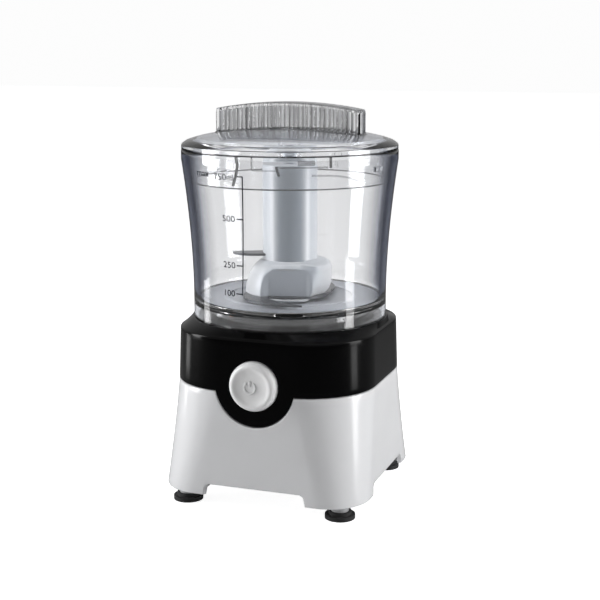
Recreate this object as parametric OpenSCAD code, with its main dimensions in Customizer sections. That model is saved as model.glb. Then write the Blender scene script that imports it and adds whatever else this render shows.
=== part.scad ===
// Compact food processor with a clear twist-on bowl over a direct drive base.
// Origin: centre of the footprint on the table. +Z up, the push button faces -Y. Millimetres.

/* [Base housing] */
// How far the seam between white and black shells lies outside the bowl's lower radius
seam_out = 2.7; // [2.2:0.1:6]
// How much further out the bottom of the legs lies than the seam
leg_out = 2.5; // [1.5:0.1:6]
// How far the black shell draws in from the seam to its top edge
top_in = 0.9; // [0:0.1:1.2]
// Corner radius in plan at the seam
seam_corner = 39.5; // [32:0.5:44]
// Corner radius in plan at the legs
leg_corner = 25; // [18:0.5:32]
// Height of the legs' lower edge above the table
leg_z = 9; // [7:0.5:12]
// Height of the white shell from the legs' edge to the seam
lower_h = 62.6; // [58:0.2:70]
// Height of the black shell's side, seam to top edge
collar_h = 31.4; // [30:0.2:36]
// Rise of the black shell's top from its edge to the bowl seat
crown_h = 4; // [2:0.2:6]
// Wall of both housing shells
shell_wall = 2.4; // [1.8:0.1:3]
// Half width of the arch between two legs
arch_half = 31; // [26:0.5:34]
// Height of the arch above the legs' edge
arch_h = 6.6; // [4:0.2:8]
// Fillet in the arch's upper corners
arch_fillet = 4; // [2:0.5:5]
// Gap left between two housing mouldings
seam_gap = 0.25; // [0.15:0.05:0.5]
// Thickness of the bottom plate
plate_t = 2.4; // [1.8:0.1:3]

/* [Feet] */
// Distance of each foot's centre in from the legs' outer faces
foot_inset = 15.3; // [14.5:0.1:17]
// Radius of the suction disc
foot_r = 8.75; // [7:0.25:10]
// Thickness of the suction disc
foot_disc_h = 2.4; // [1.8:0.2:3]
// Radius of the post that carries a foot
foot_post_r = 5; // [4:0.25:5.5]
// Height of the rubber lip round the post
foot_lip_h = 2; // [1:0.25:3]

/* [Button] */
// Height of the button's centre above the seam
button_up = 4.9; // [3:0.1:8]
// Radius of the button's cap
button_r = 14.9; // [12:0.1:17]
// How far the button's rim stands out of the front
button_out = 4.5; // [3:0.1:6]
// Travel of the button
button_travel = 3; // [2:0.5:4]
// Radius of the black lobe round the button
lobe_r = 24.2; // [21:0.1:26]

/* [Bowl] */
// Outer radius of the bowl's lower part
bowl_r = 57.5; // [56:0.1:58]
// How much the radius grows towards the rim
bowl_flare = 6.3; // [4:0.1:8]
// Height from the seat to the rim
bowl_h = 98.7; // [90:0.5:110]
// Height of the straight skirt below the bowl's floor
skirt_h = 8.2; // [7:0.2:10]
// Wall of the bowl
bowl_wall = 2.2; // [1.8:0.1:2.6]
// Floor of the bowl
bowl_floor = 2.2; // [1.8:0.1:3]
// Outer radius of the bowl's centre post
post_r = 11; // [10.4:0.1:11.4]
// Wall of the centre post
post_wall = 2.2; // [1.8:0.1:2.6]
// Height of the centre post above the seat
post_h = 71; // [60:0.5:76]
// How far the locking ring lies inside the bowl's outer radius
lock_inset = 8.3; // [7.5:0.1:11]
// Depth of the locking ring below the seat
lock_depth = 7.5; // [6:0.25:8]
// How far a locking lug stands out of the ring
lug_out = 3.2; // [2.4:0.2:3.6]

/* [Lid] */
// Thickness of the lid's flange
flange_t = 2.8; // [2:0.2:4]
// Rise of the lid's cone from flange to centre
lid_rise = 8.6; // [6:0.2:12]
// Depth of the lid's skirt inside the bowl
lid_skirt = 18.2; // [14:0.2:22]
// Clearance between the lid's skirt and the bowl's wall at the skirt's lower edge
skirt_clear = 0.6; // [0.5:0.05:1.5]
// Wall of the lid
lid_wall = 2; // [1.6:0.1:2.4]
// Half length of the finger grip
grip_half = 44.5; // [38:0.5:48]
// Thickness of the finger grip over its ribs
grip_t = 16; // [12:0.5:20]
// Height of the grip's middle above the lid's flange
grip_h = 24.2; // [20:0.2:30]
// Drop of the grip's top from middle to ends
grip_crown = 4.4; // [2:0.2:6]
// Distance between two grip ribs
rib_pitch = 2.7; // [2:0.1:4]

/* [Blade unit] */
// Outer radius of the blade hub's tube
hub_r = 16.2; // [15:0.1:18]
// Bore of the blade hub over the centre post
hub_bore = 12.2; // [11.8:0.1:13]
// Height of the hub's tube above the bowl's floor
hub_h = 79.3; // [76:0.5:82]
// Radius of the hub's foot
hub_foot_r = 26.6; // [22:0.2:30]
// Height of the hub's foot
hub_foot_h = 21; // [16:0.5:26]
// Height of the lower blade above the bowl's floor
blade_clear = 2.2; // [1.4:0.1:3]
// Sheet thickness of both blades
blade_t = 1.4; // [1:0.1:2]
// Reach of the lower blade
lower_reach = 47; // [40:0.5:51]
// Reach of the upper blade
upper_reach = 34; // [28:0.5:46]
// Height of the upper blade above the lower one
blade_rise = 23.4; // [21:0.2:30]

/* [Drive] */
// Radius of the motor shaft
shaft_r = 3; // [2.5:0.1:3.5]
// Radius of the drive spindle
spindle_r = 6; // [5:0.1:6.5]
// Corner radius of the hexagonal drive end
hex_r = 5; // [4:0.1:5.6]
// Length of the hexagonal drive end
hex_len = 14; // [10:0.5:15]
// Radial running clearance of a shaft in its bush
bush_clear = 0.05; // [0.02:0.01:0.09]
// Clearance between pieces that turn past each other
run_clear = 0.35; // [0.3:0.05:0.5]

/* [Motor] */
// Radius of the armature
armature_r = 15.8; // [14:0.1:16.4]
// Half length of the stator along X
stator_x = 26; // [25:0.5:28]
// Half width of the stator along Y
stator_y = 22; // [21.5:0.5:24]
// Air gap between armature and stator
air_gap = 0.6; // [0.4:0.05:0.8]
// Radius of the commutator
commutator_r = 9; // [7:0.25:10]
// Radius of the cooling fan
fan_r = 21; // [18:0.5:22]
// Thickness of the motor brackets
bracket_t = 2; // [1.5:0.1:2.5]

/* [Cord entry] */
// Radius of the cord's hole in the gland
cord_bore_r = 3.4; // [3:0.1:3.8]
// Height of the cord's axis above the table
cord_z = 26; // [25:0.5:32]

/* [Hidden] */
$fn = 96;

// Half widths of the base at the seam, at the bottom of its legs and at the top edge
seam_half = bowl_r + seam_out;
leg_half = seam_half + leg_out;
top_half = seam_half - top_in;

// Levels above the table
seam_z = leg_z + lower_h;
edge_z = seam_z + collar_h;
seat_z = edge_z + crown_h;
well_z = seat_z - lock_depth - 1.5;
deck_z = well_z - 3;
ceiling_z = edge_z - shell_wall;
plate_z = leg_z + arch_h + 1;
floor_z = seat_z + skirt_h + bowl_floor;
rim_z = seat_z + bowl_h;
flange_z = rim_z + flange_t;
apex_z = flange_z + lid_rise;
grip_z = flange_z + grip_h;
button_z = seam_z + button_up;
blade_z = floor_z + blade_clear;
foot_top_z = blade_z + hub_foot_h;
hub_top_z = floor_z + hub_h;
post_z = seat_z + post_h;
hex_z = post_z - 2;
spindle_z = hex_z + hex_len;

// Button and gland stand out equally, which keeps the footprint centred
front_y = half_at(button_z);
reach_y = front_y + button_out;

// Bayonet under the bowl
lock_r = bowl_r - lock_inset;
lip_r = lock_r + 0.8;
groove_r = lock_r + lug_out + 1;
well_r = groove_r + 2;
lug_arc = 13;
lug_h = 3.5;
lug_angle = 50;
twist = 20;
lip_h = 2.6;
edge_round = 1.1;
seat_margin = 0.6;
tongue_h = 3;

// Bayonet inside the rim
skirt_rib = 0.6;
rim_lug_gap = 0.6;

// Motor levels: the upper bearing stays under the spindle, and the lamination stack takes the room left
plate_top = plate_z + plate_t;
shaft_top = seat_z - 1;
spindle_low = deck_z - 3.5;
cup_h = 6.5;
low_bracket_z = plate_top + 7;
brush_z = low_bracket_z + 8.2;
stack_z = brush_z + 12;
top_bracket_z = spindle_low - cup_h - 1.2;
fan_h = 6.4;
fan_z = top_bracket_z - fan_h - 1.2;
stack_top = fan_z - 8.5;
stack_h = stack_top - stack_z;
shaft_low = low_bracket_z - 2.9;
end_turn_h = 6.8;
bolt_x = stator_x - 2.7;
bolt_y = stator_y - 2.4;
bolt_r = 1.5;
sleeve_r = 2.5;
mount_x = stator_x + 5;
mount_y = stator_y - 1;
mount_boss_z = top_bracket_z + bracket_t + 3.4;
bush_r = shaft_r + 3.4;

// Interlock
plunger_r = 1.6;
plunger_at = groove_r - plunger_r - 0.7;
plunger_angle = lug_angle + 90 + twist;
plunger_up = well_z + 3.8;
interlock_travel = 3;
guide_z = deck_z - 12;

// Screw posts, screw bosses and feet keep their distance from the walls
post_at = seam_half - 21.7;
joint_z = seam_z - 6;
base_boss_at = leg_half - 9.7;
base_boss_side = 20;
foot_at = leg_half - foot_inset;

/* Shapes used by several pieces */

// Plan corners of the base, in turn: quadrant signs
function sx(k) = (k == 0 || k == 3) ? 1 : -1;
function sy(k) = k < 2 ? 1 : -1;

// A ring of points: a square of half width a whose corners are arcs of radius r
function ring(a, r, z, n = 8) = [for (k = [0:3]) for (i = [0:n])
    let (t = 90 * k + 90 * i / n) [sx(k) * (a - r) + r * cos(t), sy(k) * (a - r) + r * sin(t), z]];

// Half width and corner radius of the base at any height
function half_at(z) = z > seam_z
    ? seam_half + (top_half - seam_half) * (z - seam_z) / collar_h
    : seam_half + (leg_half - seam_half) * pow((seam_z - z) / lower_h, 1.5);
function corner_at(z) = z > seam_z ? seam_corner
    : seam_corner + (leg_corner - seam_corner) * (seam_z - z) / lower_h;

// Closed body through a list of rings with the same number of points
module loft(rings) {
    n = len(rings[0]);
    m = len(rings);
    polyhedron(
        points = [for (q = rings) each q],
        faces = concat(
            [[for (i = [0:n - 1]) i]],
            [[for (i = [n - 1:-1:0]) (m - 1) * n + i]],
            [for (j = [0:m - 2]) for (i = [0:n - 1])
                [j * n + i, (j + 1) * n + i, (j + 1) * n + (i + 1) % n, j * n + (i + 1) % n]]));
}

// The base's outline between two heights, drawn in by inset
module body(z0, z1, inset = 0, steps = 6) {
    loft([for (i = [0:steps]) let (z = z0 + (z1 - z0) * i / steps)
        ring(half_at(z) - inset, corner_at(z) - inset, z)]);
}

module at_corners(d, e = undef) {
    for (x = [-1, 1], y = [-1, 1]) translate([x * d, y * (is_undef(e) ? d : e), 0]) children();
}

module tube(r, bore, z0, z1) {
    difference() {
        translate([0, 0, z0]) cylinder(r = r, h = z1 - z0);
        translate([0, 0, z0 - 1]) cylinder(r = bore, h = z1 - z0 + 2);
    }
}

// A block from its lowest to its highest corner
module block(a, b) {
    translate(a) cube(b - a);
}

// Part of a ring: between two radii, two heights and two angles
module arc_rib(r0, r1, z0, z1, a0, a1) {
    rotate(a0) rotate_extrude(angle = a1 - a0)
        polygon([[r0, z0], [r1, z0], [r1, z1], [r0, z1]]);
}

// Compression spring of round wire along +Z, from z = 0 to z = h
module coil(r, wire, h, turns, steps = 14, sides = 6) {
    n = turns * steps;
    loft([for (j = [0:n])
        let (t = 360 * j / steps, z = wire + (h - 2 * wire) * j / n)
        [for (i = [0:sides - 1])
            let (u = -360 * i / sides)
            [(r + wire * cos(u)) * cos(t), (r + wire * cos(u)) * sin(t), z + wire * sin(u)]]]);
}

// Turns a shape that points along +Z so that it points out of the front
module facing_front(z) {
    translate([0, 0, z]) rotate([90, 0, 0]) children();
}

/* Bowl, lid and blade unit */

// Outer radius of the bowl at height z: straight at first, then an even flare up to the lid's skirt
floor_ring_r = lock_r - 10;
flare_low = floor_z + 3.6;
flare_top = rim_z - 5.7;
function bowl_r_at(z) = bowl_r + bowl_flare * pow(max(0, z - flare_low) / (flare_top - flare_low), 1.8);
flare_zs = [for (i = [0:10]) flare_low + (flare_top - flare_low) * i / 10];
lid_skirt_r = bowl_r_at(rim_z - lid_skirt) - bowl_wall - skirt_clear;

module bowl() color([0.86, 0.88, 0.93, 0.35]) {
    under = seat_z + skirt_h;
    post_bore = post_r - post_wall;
    lock_bore = lock_r - 2.4;
    rotate_extrude() polygon(concat(
        // Underside: floor, locking ring, skirt
        [[post_bore, under], [lock_bore, under], [lock_bore, seat_z - lock_depth], [lock_r, seat_z - lock_depth],
            [lock_r, under], [bowl_r - bowl_wall, under], [bowl_r - bowl_wall, seat_z], [bowl_r, seat_z]],
        // Wall, outside and inside
        [for (z = flare_zs) [bowl_r_at(z), z]],
        [[bowl_r + bowl_flare, rim_z], [bowl_r + bowl_flare - bowl_wall, rim_z]],
        [for (i = [10:-1:0]) [bowl_r_at(flare_zs[i]) - bowl_wall, flare_zs[i]]],
        // Floor with its raised ring, and the centre post
        [[bowl_r - bowl_wall - 1.5, floor_z], [floor_ring_r, floor_z], [floor_ring_r, floor_z + 0.8],
            [floor_ring_r - 2, floor_z + 0.8], [floor_ring_r - 2, floor_z], [post_r, floor_z], [post_r, post_z],
            [post_bore, post_z]]));
    for (k = [0:3]) {
        a = lug_angle + 90 * k;
        arc_rib(lock_r - 1, lock_r + lug_out, seat_z - lock_depth + 0.4, seat_z - lock_depth + lug_h,
            a - lug_arc / 2, a + lug_arc / 2);
        rim_a = 90 * k - 20;
        arc_rib(lid_skirt_r + rim_lug_gap, bowl_r + bowl_flare - 1, flare_top - 4, flare_top - 1.4,
            rim_a, rim_a + 6);
    }
}

module lid() color([0.86, 0.88, 0.93, 0.35]) {
    under = lid_wall + 0.4;
    edge_r = bowl_r + bowl_flare - 0.2;
    crown_r = (pow(grip_half, 2) + pow(grip_crown, 2)) / (2 * grip_crown);
    ribs = floor((grip_half - 4) / rib_pitch) - 0.5;
    face_y = grip_t / 2;
    groove_y = face_y - 0.8;
    front_edge = [for (i = [-ribs * 2:ribs * 2]) [i * rib_pitch / 2, abs(i + ribs * 2) % 2 == 0 ? groove_y : face_y]];
    outline = concat([[-grip_half, -groove_y]], [for (p = front_edge) [p.x, -p.y]],
        [[grip_half, -groove_y], [grip_half, groove_y]],
        [for (i = [len(front_edge) - 1:-1:0]) front_edge[i]], [[-grip_half, groove_y]]);
    difference() {
        union() {
            rotate_extrude() polygon([
                [0, apex_z], [edge_r / 3, apex_z - lid_rise * 0.1], [edge_r * 0.67, apex_z - lid_rise * 0.28],
                [edge_r * 0.84, apex_z - lid_rise * 0.5], [edge_r - 2.6, flange_z + 2], [edge_r - 0.4, flange_z + 0.4],
                [edge_r, flange_z - 0.4], [edge_r, rim_z], [lid_skirt_r, rim_z], [lid_skirt_r, rim_z - lid_skirt],
                [lid_skirt_r - lid_wall, rim_z - lid_skirt], [lid_skirt_r - lid_wall, flange_z - 1.4],
                [edge_r * 0.84, apex_z - lid_rise * 0.5 - under], [edge_r * 0.67, apex_z - lid_rise * 0.28 - under],
                [edge_r / 3, apex_z - lid_rise * 0.1 - under], [0, apex_z - under]]);
            intersection() {
                translate([0, 0, flange_z + 2]) linear_extrude(grip_h) polygon(outline);
                translate([0, 0, grip_z - crown_r]) rotate([90, 0, 0]) cylinder(r = crown_r, h = grip_t + 2,
                    center = true, $fn = 192);
            }
        }
        intersection() {
            block([-grip_half + lid_wall, -groove_y + lid_wall, rim_z],
                [grip_half - lid_wall, groove_y - lid_wall, grip_z]);
            translate([0, 0, grip_z - crown_r]) rotate([90, 0, 0]) cylinder(r = crown_r - lid_wall,
                h = grip_t + 2, center = true, $fn = 192);
        }
    }
    // Boss that steadies the pin on top of the blade hub
    difference() {
        translate([0, 0, hub_top_z + 2]) cylinder(r = 6.8, h = apex_z - lid_wall - hub_top_z - 2);
        translate([0, 0, hub_top_z]) cylinder(r = hub_pin_r + run_clear, h = hub_pin_h + 3);
    }
    // Bayonet ribs round the skirt: two stops and two ramps in each quarter
    for (k = [0:3]) rotate(90 * k - 90) {
        arc_rib(lid_skirt_r - 1, lid_skirt_r + skirt_rib, rim_z - 15, rim_z, -8.7, -6.9);
        arc_rib(lid_skirt_r - 1, lid_skirt_r + skirt_rib, rim_z - 15, rim_z - 3, 14, 15.4);
        arc_rib(lid_skirt_r - 1, lid_skirt_r + skirt_rib, rim_z - 4, rim_z - 3, 17, 42);
        arc_rib(lid_skirt_r - 1, lid_skirt_r + skirt_rib, rim_z - 7.6, rim_z - 6.2, 32, 66);
    }
}

hub_pin_r = 4;
hub_pin_h = 5.5;
socket_low = post_z + run_clear;
wing_angle = 22;
upper_angle = 205;
upper_blade_z = blade_z + blade_rise;
slot_fit = 0.05;

module blade_hub() color([0.9, 0.91, 0.93]) {
    difference() {
        union() {
            // Tube over the centre post, closed at its top round the drive socket
            tube(hub_r, hub_bore, foot_top_z - 1, hub_top_z);
            translate([0, 0, socket_low]) cylinder(r = hub_bore + 0.5, h = hub_top_z - socket_low);
            translate([0, 0, hub_top_z - 1]) cylinder(r = hub_pin_r, h = hub_pin_h + 1);
            // Bell foot
            rotate_extrude() polygon([
                [hub_bore, blade_z + blade_t], [hub_foot_r - 0.6, blade_z + blade_t], [hub_foot_r, blade_z + 4],
                [hub_foot_r * 0.94, blade_z + hub_foot_h * 0.48], [hub_foot_r * 0.79, blade_z + hub_foot_h * 0.8],
                [hub_r + 0.8, foot_top_z], [hub_bore, foot_top_z]]);
            // Wing that stiffens one side of the foot
            rotate(wing_angle) difference() {
                block([hub_bore + 1, -hub_r * 0.8, blade_z + 3.4], [hub_foot_r - 1.4, hub_r * 0.8, foot_top_z - 0.4]);
                translate([hub_foot_r + 3, 0, blade_z]) rotate([0, -40, 0])
                    cube([12, hub_r * 2, 14], center = true);
            }
        }
        // Hollow of the foot, drive socket and the pocket of the upper blade's root
        rotate_extrude() polygon([[hub_bore + 2.4, blade_z], [hub_foot_r - 3, blade_z],
            [hub_foot_r - 3, blade_z + 4], [hub_foot_r * 0.94 - 3, blade_z + hub_foot_h * 0.48],
            [hub_r + 0.4, foot_top_z - 4], [hub_bore + 2.4, foot_top_z - 4]]);
        translate([0, 0, socket_low - 1]) cylinder(r = hex_r + run_clear, h = spindle_z - socket_low + 2, $fn = 6);
        rotate(upper_angle) block([hub_bore + 1, -6 - slot_fit, upper_blade_z - slot_fit],
            [hub_r + 1, 6 + slot_fit, upper_blade_z + blade_t + slot_fit]);
    }
}

// Short knife: straight back, cutting edge a quarter of an ellipse that runs out to the tip
module upper_blade() color("silver") {
    root = hub_bore + 1.2;
    half_w = 6;
    rotate(upper_angle) translate([0, 0, upper_blade_z]) linear_extrude(blade_t)
        polygon(concat([[root, half_w], [root, -half_w], [upper_reach - 1, -half_w], [upper_reach, -half_w + 1]],
            [for (i = [1:10]) let (t = 90 - 9 * i) [hub_r + 3 + (upper_reach - hub_r - 3) * sin(t),
                -half_w + (2 * half_w) * cos(t)]]));
}

// Two sickle arms in one sheet, with a centre disc under the hub's foot
lower_angle = -62;
sweep = 95;
arm_w = 17;
function arm_point(t, side) = let (
    r = hub_foot_r - 10 + (lower_reach - hub_foot_r + 10) * pow(t, 1.2) + side * arm_w / 2 * (1 - pow(t, 3)),
    a = lower_angle - sweep * (1 - t)) [min(r, lower_reach) * cos(a), min(r, lower_reach) * sin(a)];
module lower_blade() color("silver") {
    n = 12;
    translate([0, 0, blade_z]) difference() {
        union() {
            cylinder(r = hub_foot_r - 2, h = blade_t);
            for (a = [0, 180]) rotate(a) linear_extrude(blade_t) polygon(concat(
                [for (i = [0:n]) arm_point(i / n, 1)], [for (i = [n - 1:-1:0]) arm_point(i / n, -1)]));
        }
        translate([0, 0, -1]) cylinder(r = hub_bore, h = blade_t + 2);
    }
}

module drive_spindle() color("gainsboro") {
    difference() {
        union() {
            translate([0, 0, spindle_low]) cylinder(r = spindle_r, h = hex_z - spindle_low);
            translate([0, 0, hex_z - 1]) cylinder(r = hex_r, h = spindle_z - hex_z + 1, $fn = 6);
        }
        translate([0, 0, spindle_low - 1]) cylinder(r = shaft_r + 0.02, h = shaft_top - spindle_low + 1.3);
    }
}

module shaft_seal() color([0.15, 0.15, 0.16]) {
    rotate_extrude() polygon([[spindle_r + run_clear, well_z + 9], [spindle_r + 1.6, well_z + 7.4],
        [spindle_r + 1.6, well_z + 4.2], [seal_r - 0.1, well_z + 4.2], [seal_r - 0.1, well_z + 10],
        [spindle_r + run_clear, well_z + 10]]);
}

/* Housing */
seal_r = spindle_r + 3;

module lobe_disc(r) {
    facing_front(button_z) translate([0, 0, front_y - 12]) cylinder(r = r, h = 30);
}

module upper_housing() color([0.03, 0.03, 0.035]) {
    difference() {
        union() {
            difference() {
                union() {
                    // Straight wall, rounded edge and the crown that runs up to the bowl's round seat
                    loft(concat([for (s = [[0, 0], [0.95, 0], [0.985, 0.35], [1, edge_round]])
                        let (z = seam_z + collar_h * s[0]) ring(half_at(z) - s[1], corner_at(z) - s[1], z)],
                        [ring(bowl_r + seat_margin, bowl_r, seat_z)]));
                    // Tongue that centres the shell in the white one
                    difference() {
                        body(seam_z - tongue_h, seam_z + 0.01, shell_wall + seam_gap, 1);
                        lobe_disc(lobe_r + 2);
                    }
                }
                body(seam_z - tongue_h - 1, seam_z + 2, shell_wall + seam_gap + 1.4, 1);
                block([-lobe_r + 2, shell_wall + 0.1 - seam_half, seam_z - 1], [lobe_r - 2, 0, seam_z + 2.5]);
                difference() {
                    body(seam_z + 1.9, ceiling_z, shell_wall, 1);
                    translate([0, 0, deck_z]) cylinder(r = well_r, h = seat_z);
                }
            }
            // Boss round the spindle and the plug of material under the well
            translate([0, 0, deck_z]) cylinder(r = seal_r + 3, h = well_z + 12 - deck_z);
            // Lobe round the button, flush with the white shell
            intersection() {
                difference() {
                    body(button_z - lobe_r - 2, seam_z + 0.01, 0);
                    body(button_z - lobe_r - 3, seam_z + 1, shell_wall);
                }
                lobe_disc(lobe_r);
            }
            // Screw posts, motor posts and the interlock's guide
            intersection() {
                at_corners(post_at) translate([0, 0, joint_z + 0.3]) cylinder(r = 4.5, h = ceiling_z - joint_z);
                body(joint_z, edge_z, shell_wall + 1.7);
            }
            at_corners(mount_x, mount_y) translate([0, 0, mount_boss_z]) cylinder(r = 4, h = deck_z - mount_boss_z + 0.5);
            rotate(plunger_angle) translate([plunger_at, 0, 0]) {
                tube(5, 3.6, guide_z, deck_z + 0.5);
                tube(4, plunger_r - 0.1, guide_z, guide_z + 1.2);
                block([-3.2 - 2.2, -8, guide_z - 15], [-3.4, 8, guide_z + 1.2]);
                block([-3.2 - 2.2, -2, guide_z], [-3.4, 2, deck_z + 0.5]);
            }
        }
        // Bowl's well with the bayonet lip, its notches and the spindle's bore
        difference() {
            union() {
                translate([0, 0, well_z]) cylinder(r = groove_r, h = seat_z - lip_h - well_z);
                translate([0, 0, well_z]) cylinder(r = lip_r, h = seat_z);
            }
            translate([0, 0, deck_z]) cylinder(r = seal_r + 3, h = well_z + 12 - deck_z);
        }
        for (k = [0:3]) let (a = lug_angle + 90 * k)
            arc_rib(lip_r - 1, groove_r, seat_z - lip_h - 0.5, seat_z + 1, a - lug_arc / 2 - 2, a + lug_arc / 2 + 2);
        translate([0, 0, deck_z - 1]) cylinder(r = spindle_r + 1, h = 30);
        translate([0, 0, well_z + 4]) cylinder(r = seal_r, h = 30);
        // Button's hole and the pilot holes
        facing_front(button_z) translate([0, 0, front_y - 12]) cylinder(r = button_r + 0.4, h = 30);
        at_corners(post_at) translate([0, 0, joint_z]) cylinder(r = 1.4, h = 18);
        at_corners(mount_x, mount_y) translate([0, 0, mount_boss_z - 1]) cylinder(r = 1.6, h = 9);
        rotate(plunger_angle) translate([plunger_at, 0, deck_z - 1]) cylinder(r = plunger_r + 0.3, h = 5);
    }
}

// The arches between the legs, cut through both pairs of sides
module arches() {
    for (a = [0, 90]) rotate(a) {
        block([-arch_half, -2 * leg_half, leg_z - 5], [arch_half, 2 * leg_half, leg_z + arch_h - arch_fillet]);
        block([-arch_half + arch_fillet, -2 * leg_half, leg_z - 5],
            [arch_half - arch_fillet, 2 * leg_half, leg_z + arch_h]);
        for (s = [-1, 1]) translate([s * (arch_half - arch_fillet), 0, leg_z + arch_h - arch_fillet])
            rotate([90, 0, 0]) cylinder(r = arch_fillet, h = 4 * leg_half, center = true);
    }
}

module lower_housing() color([0.93, 0.93, 0.94]) {
    difference() {
        body(leg_z, seam_z);
        body(leg_z - 1, seam_z + 1, shell_wall);
        arches();
        lobe_disc(lobe_r + seam_gap);
        translate([0, 0, cord_z]) rotate([-90, 0, 0]) cylinder(r = cord_bore_r + 1.8, h = 2 * leg_half);
    }
    // Posts for the long screws, tied to the corners by ribs
    intersection() {
        union() {
            at_corners(post_at) difference() {
                translate([0, 0, plate_top + 0.3]) cylinder(r = 4.5, h = joint_z - plate_top - 0.3);
                translate([0, 0, plate_top]) cylinder(r = 3.3, h = joint_z - plate_top - 4);
                translate([0, 0, plate_top]) cylinder(r = 1.7, h = lower_h);
            }
            for (k = [0:3]) rotate(45 + 90 * k)
                block([post_at * sqrt(2) + 3.6, -1, plate_top + 0.3], [post_at * sqrt(2) + 30, 1, joint_z - 6]);
        }
        body(leg_z, seam_z, 1);
    }
    // Bosses for the bottom plate's screws
    at_base_bosses() tube(3.8, 1.4, plate_top, plate_top + 13);
    intersection() {
        at_base_bosses() block([3.2, -1, plate_top], [leg_half, 1, plate_top + 13]);
        body(leg_z, seam_z, 1);
    }
}

module at_base_bosses() {
    for (k = [0:3]) rotate(90 * k) translate([base_boss_at, base_boss_side, 0]) children();
}

module bottom_plate() color([0.8, 0.8, 0.81]) {
    gap = shell_wall + seam_gap + 0.1;
    leg_wall = 2;
    side = 2 * leg_half;
    difference() {
        union() {
            body(plate_z, plate_top, gap, 1);
            // Caps that close the legs, with the posts of the feet
            intersection() {
                body(leg_z + 0.6, plate_z + 1, gap, 1);
                at_corners(leg_half + arch_half + leg_wall + 0.5) cube([side, side, 4 * leg_z], center = true);
            }
            at_corners(foot_at) translate([0, 0, foot_disc_h + 0.4])
                cylinder(r = foot_post_r, h = plate_z - foot_disc_h);
        }
        // Hollow legs, screw holes, long screw access and air slots
        intersection() {
            body(leg_z + leg_wall + 0.6, plate_top + 1, gap + leg_wall, 1);
            at_corners(leg_half + arch_half + 2 * leg_wall + 0.5) cube([side, side, 200], center = true);
        }
        at_base_bosses() translate([0, 0, plate_z - 1]) {
            cylinder(r = 1.8, h = 9);
            cylinder(r = 3.4, h = 1.8);
        }
        at_corners(post_at) translate([0, 0, leg_z]) cylinder(r = 3.3, h = 30);
        for (i = [-4:4]) block([5 * i - 1, -14, plate_z - 1], [5 * i + 1, 14, plate_top + 1]);
    }
}

module foot(x, y) color([0.06, 0.06, 0.06]) translate([x, y, 0]) {
    difference() {
        union() {
            cylinder(r = foot_r, h = foot_disc_h);
            translate([0, 0, foot_disc_h - 0.1]) cylinder(r = foot_post_r + 1.6, h = foot_lip_h + 0.1);
        }
        translate([0, 0, foot_disc_h + 0.2]) cylinder(r = foot_post_r + 0.15, h = 10);
        translate([0, 0, -1]) cylinder(r = foot_post_r - 1, h = 1.8);
    }
}

module foot_front_left() foot(-foot_at, -foot_at);
module foot_front_right() foot(foot_at, -foot_at);
module foot_rear_left() foot(-foot_at, foot_at);
module foot_rear_right() foot(foot_at, foot_at);

/* Button and switches */
button_flange = 1.6;
flange_r = button_r + 1.5;
button_back = half_at(button_z + flange_r) - shell_wall - 0.3;
stem_r = 4;
bracket_y = button_back - 12.5;
lever = 0.9;
stem_end = bracket_y - 2.1 + lever + button_travel + 0.3;
switch_w = 20;
switch_t = 6.4;
switch_h = 10.2;

module push_button() color([0.82, 0.83, 0.84]) facing_front(button_z) {
    rim = reach_y;
    rotate_extrude() polygon([[0, button_back - 3], [button_r - 2, button_back - 3], [button_r - 2, button_back - button_flange],
        [flange_r, button_back - button_flange], [flange_r, button_back], [button_r, button_back],
        [button_r, front_y + button_out * 0.45], [button_r - 0.5, front_y + button_out * 0.75],
        [button_r - 1.6, rim - 0.2], [button_r - 2.6, rim], [button_r - 3.6, rim - 0.3],
        [button_r - 5, rim - 1.1], [button_r / 3, rim - 1.6], [0, rim - 1.6]]);
    translate([0, 0, stem_end]) cylinder(r = stem_r, h = button_back - stem_end - 2);
}

module button_spring() color("silver") facing_front(button_z) {
    translate([0, 0, bracket_y + 0.1]) coil(stem_r + 1.6, 0.45, button_back - 3 - bracket_y - 0.2, 5);
}

module switch_bracket() color([0.2, 0.2, 0.21]) {
    arm = flange_r + 1.9;
    arm_y = half_at(button_z + 11) - shell_wall - 0.02;
    difference() {
        union() {
            block([-arm - 2, -bracket_y, button_z - 11], [arm + 2, -bracket_y + 2, button_z + 11]);
            for (s = [-1, 1]) block([s > 0 ? arm : -arm - 2, -arm_y, button_z - 4],
                [s > 0 ? arm + 2 : -arm, -bracket_y + 2, button_z + 11]);
        }
        facing_front(button_z) translate([0, 0, bracket_y - 4]) cylinder(r = stem_r + 0.5, h = 8);
    }
}

module switch_body(w, t, h, lever) {
    difference() {
        union() {
            translate([-w / 2, -t / 2, -h]) cube([w, t, h]);
            translate([-w / 4 + 1, -1.2, -0.1]) cube([w / 4, 2.4, lever + 0.1]);
            for (x = [-0.4, 0, 0.4]) translate([x * w - 0.4, -1.6, -h - 3]) cube([0.8, 3.2, 3.1]);
        }
        for (x = [-0.24, 0.24]) translate([x * w, 0, -h * 0.72]) rotate([90, 0, 0])
            cylinder(r = 1.3, h = 2 * t, center = true);
    }
}

module pulse_switch() color([0.12, 0.12, 0.13]) {
    translate([0, -bracket_y + 2.1, button_z]) rotate([90, 0, 0])
        switch_body(switch_w, switch_t, switch_h, lever);
}

module interlock_plunger() color([0.85, 0.3, 0.1]) {
    rotate(plunger_angle) translate([plunger_at, 0, 0]) {
        translate([0, 0, guide_z + interlock_travel + 1.6])
            cylinder(r = plunger_r, h = plunger_up - guide_z - interlock_travel - 1.6);
        translate([0, 0, deck_z - 1.6]) cylinder(r = plunger_r + 1.5, h = 1.3);
        translate([0, 0, guide_z + 0.1]) cylinder(r = plunger_r - 0.45, h = interlock_travel + 2);
    }
}

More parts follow.
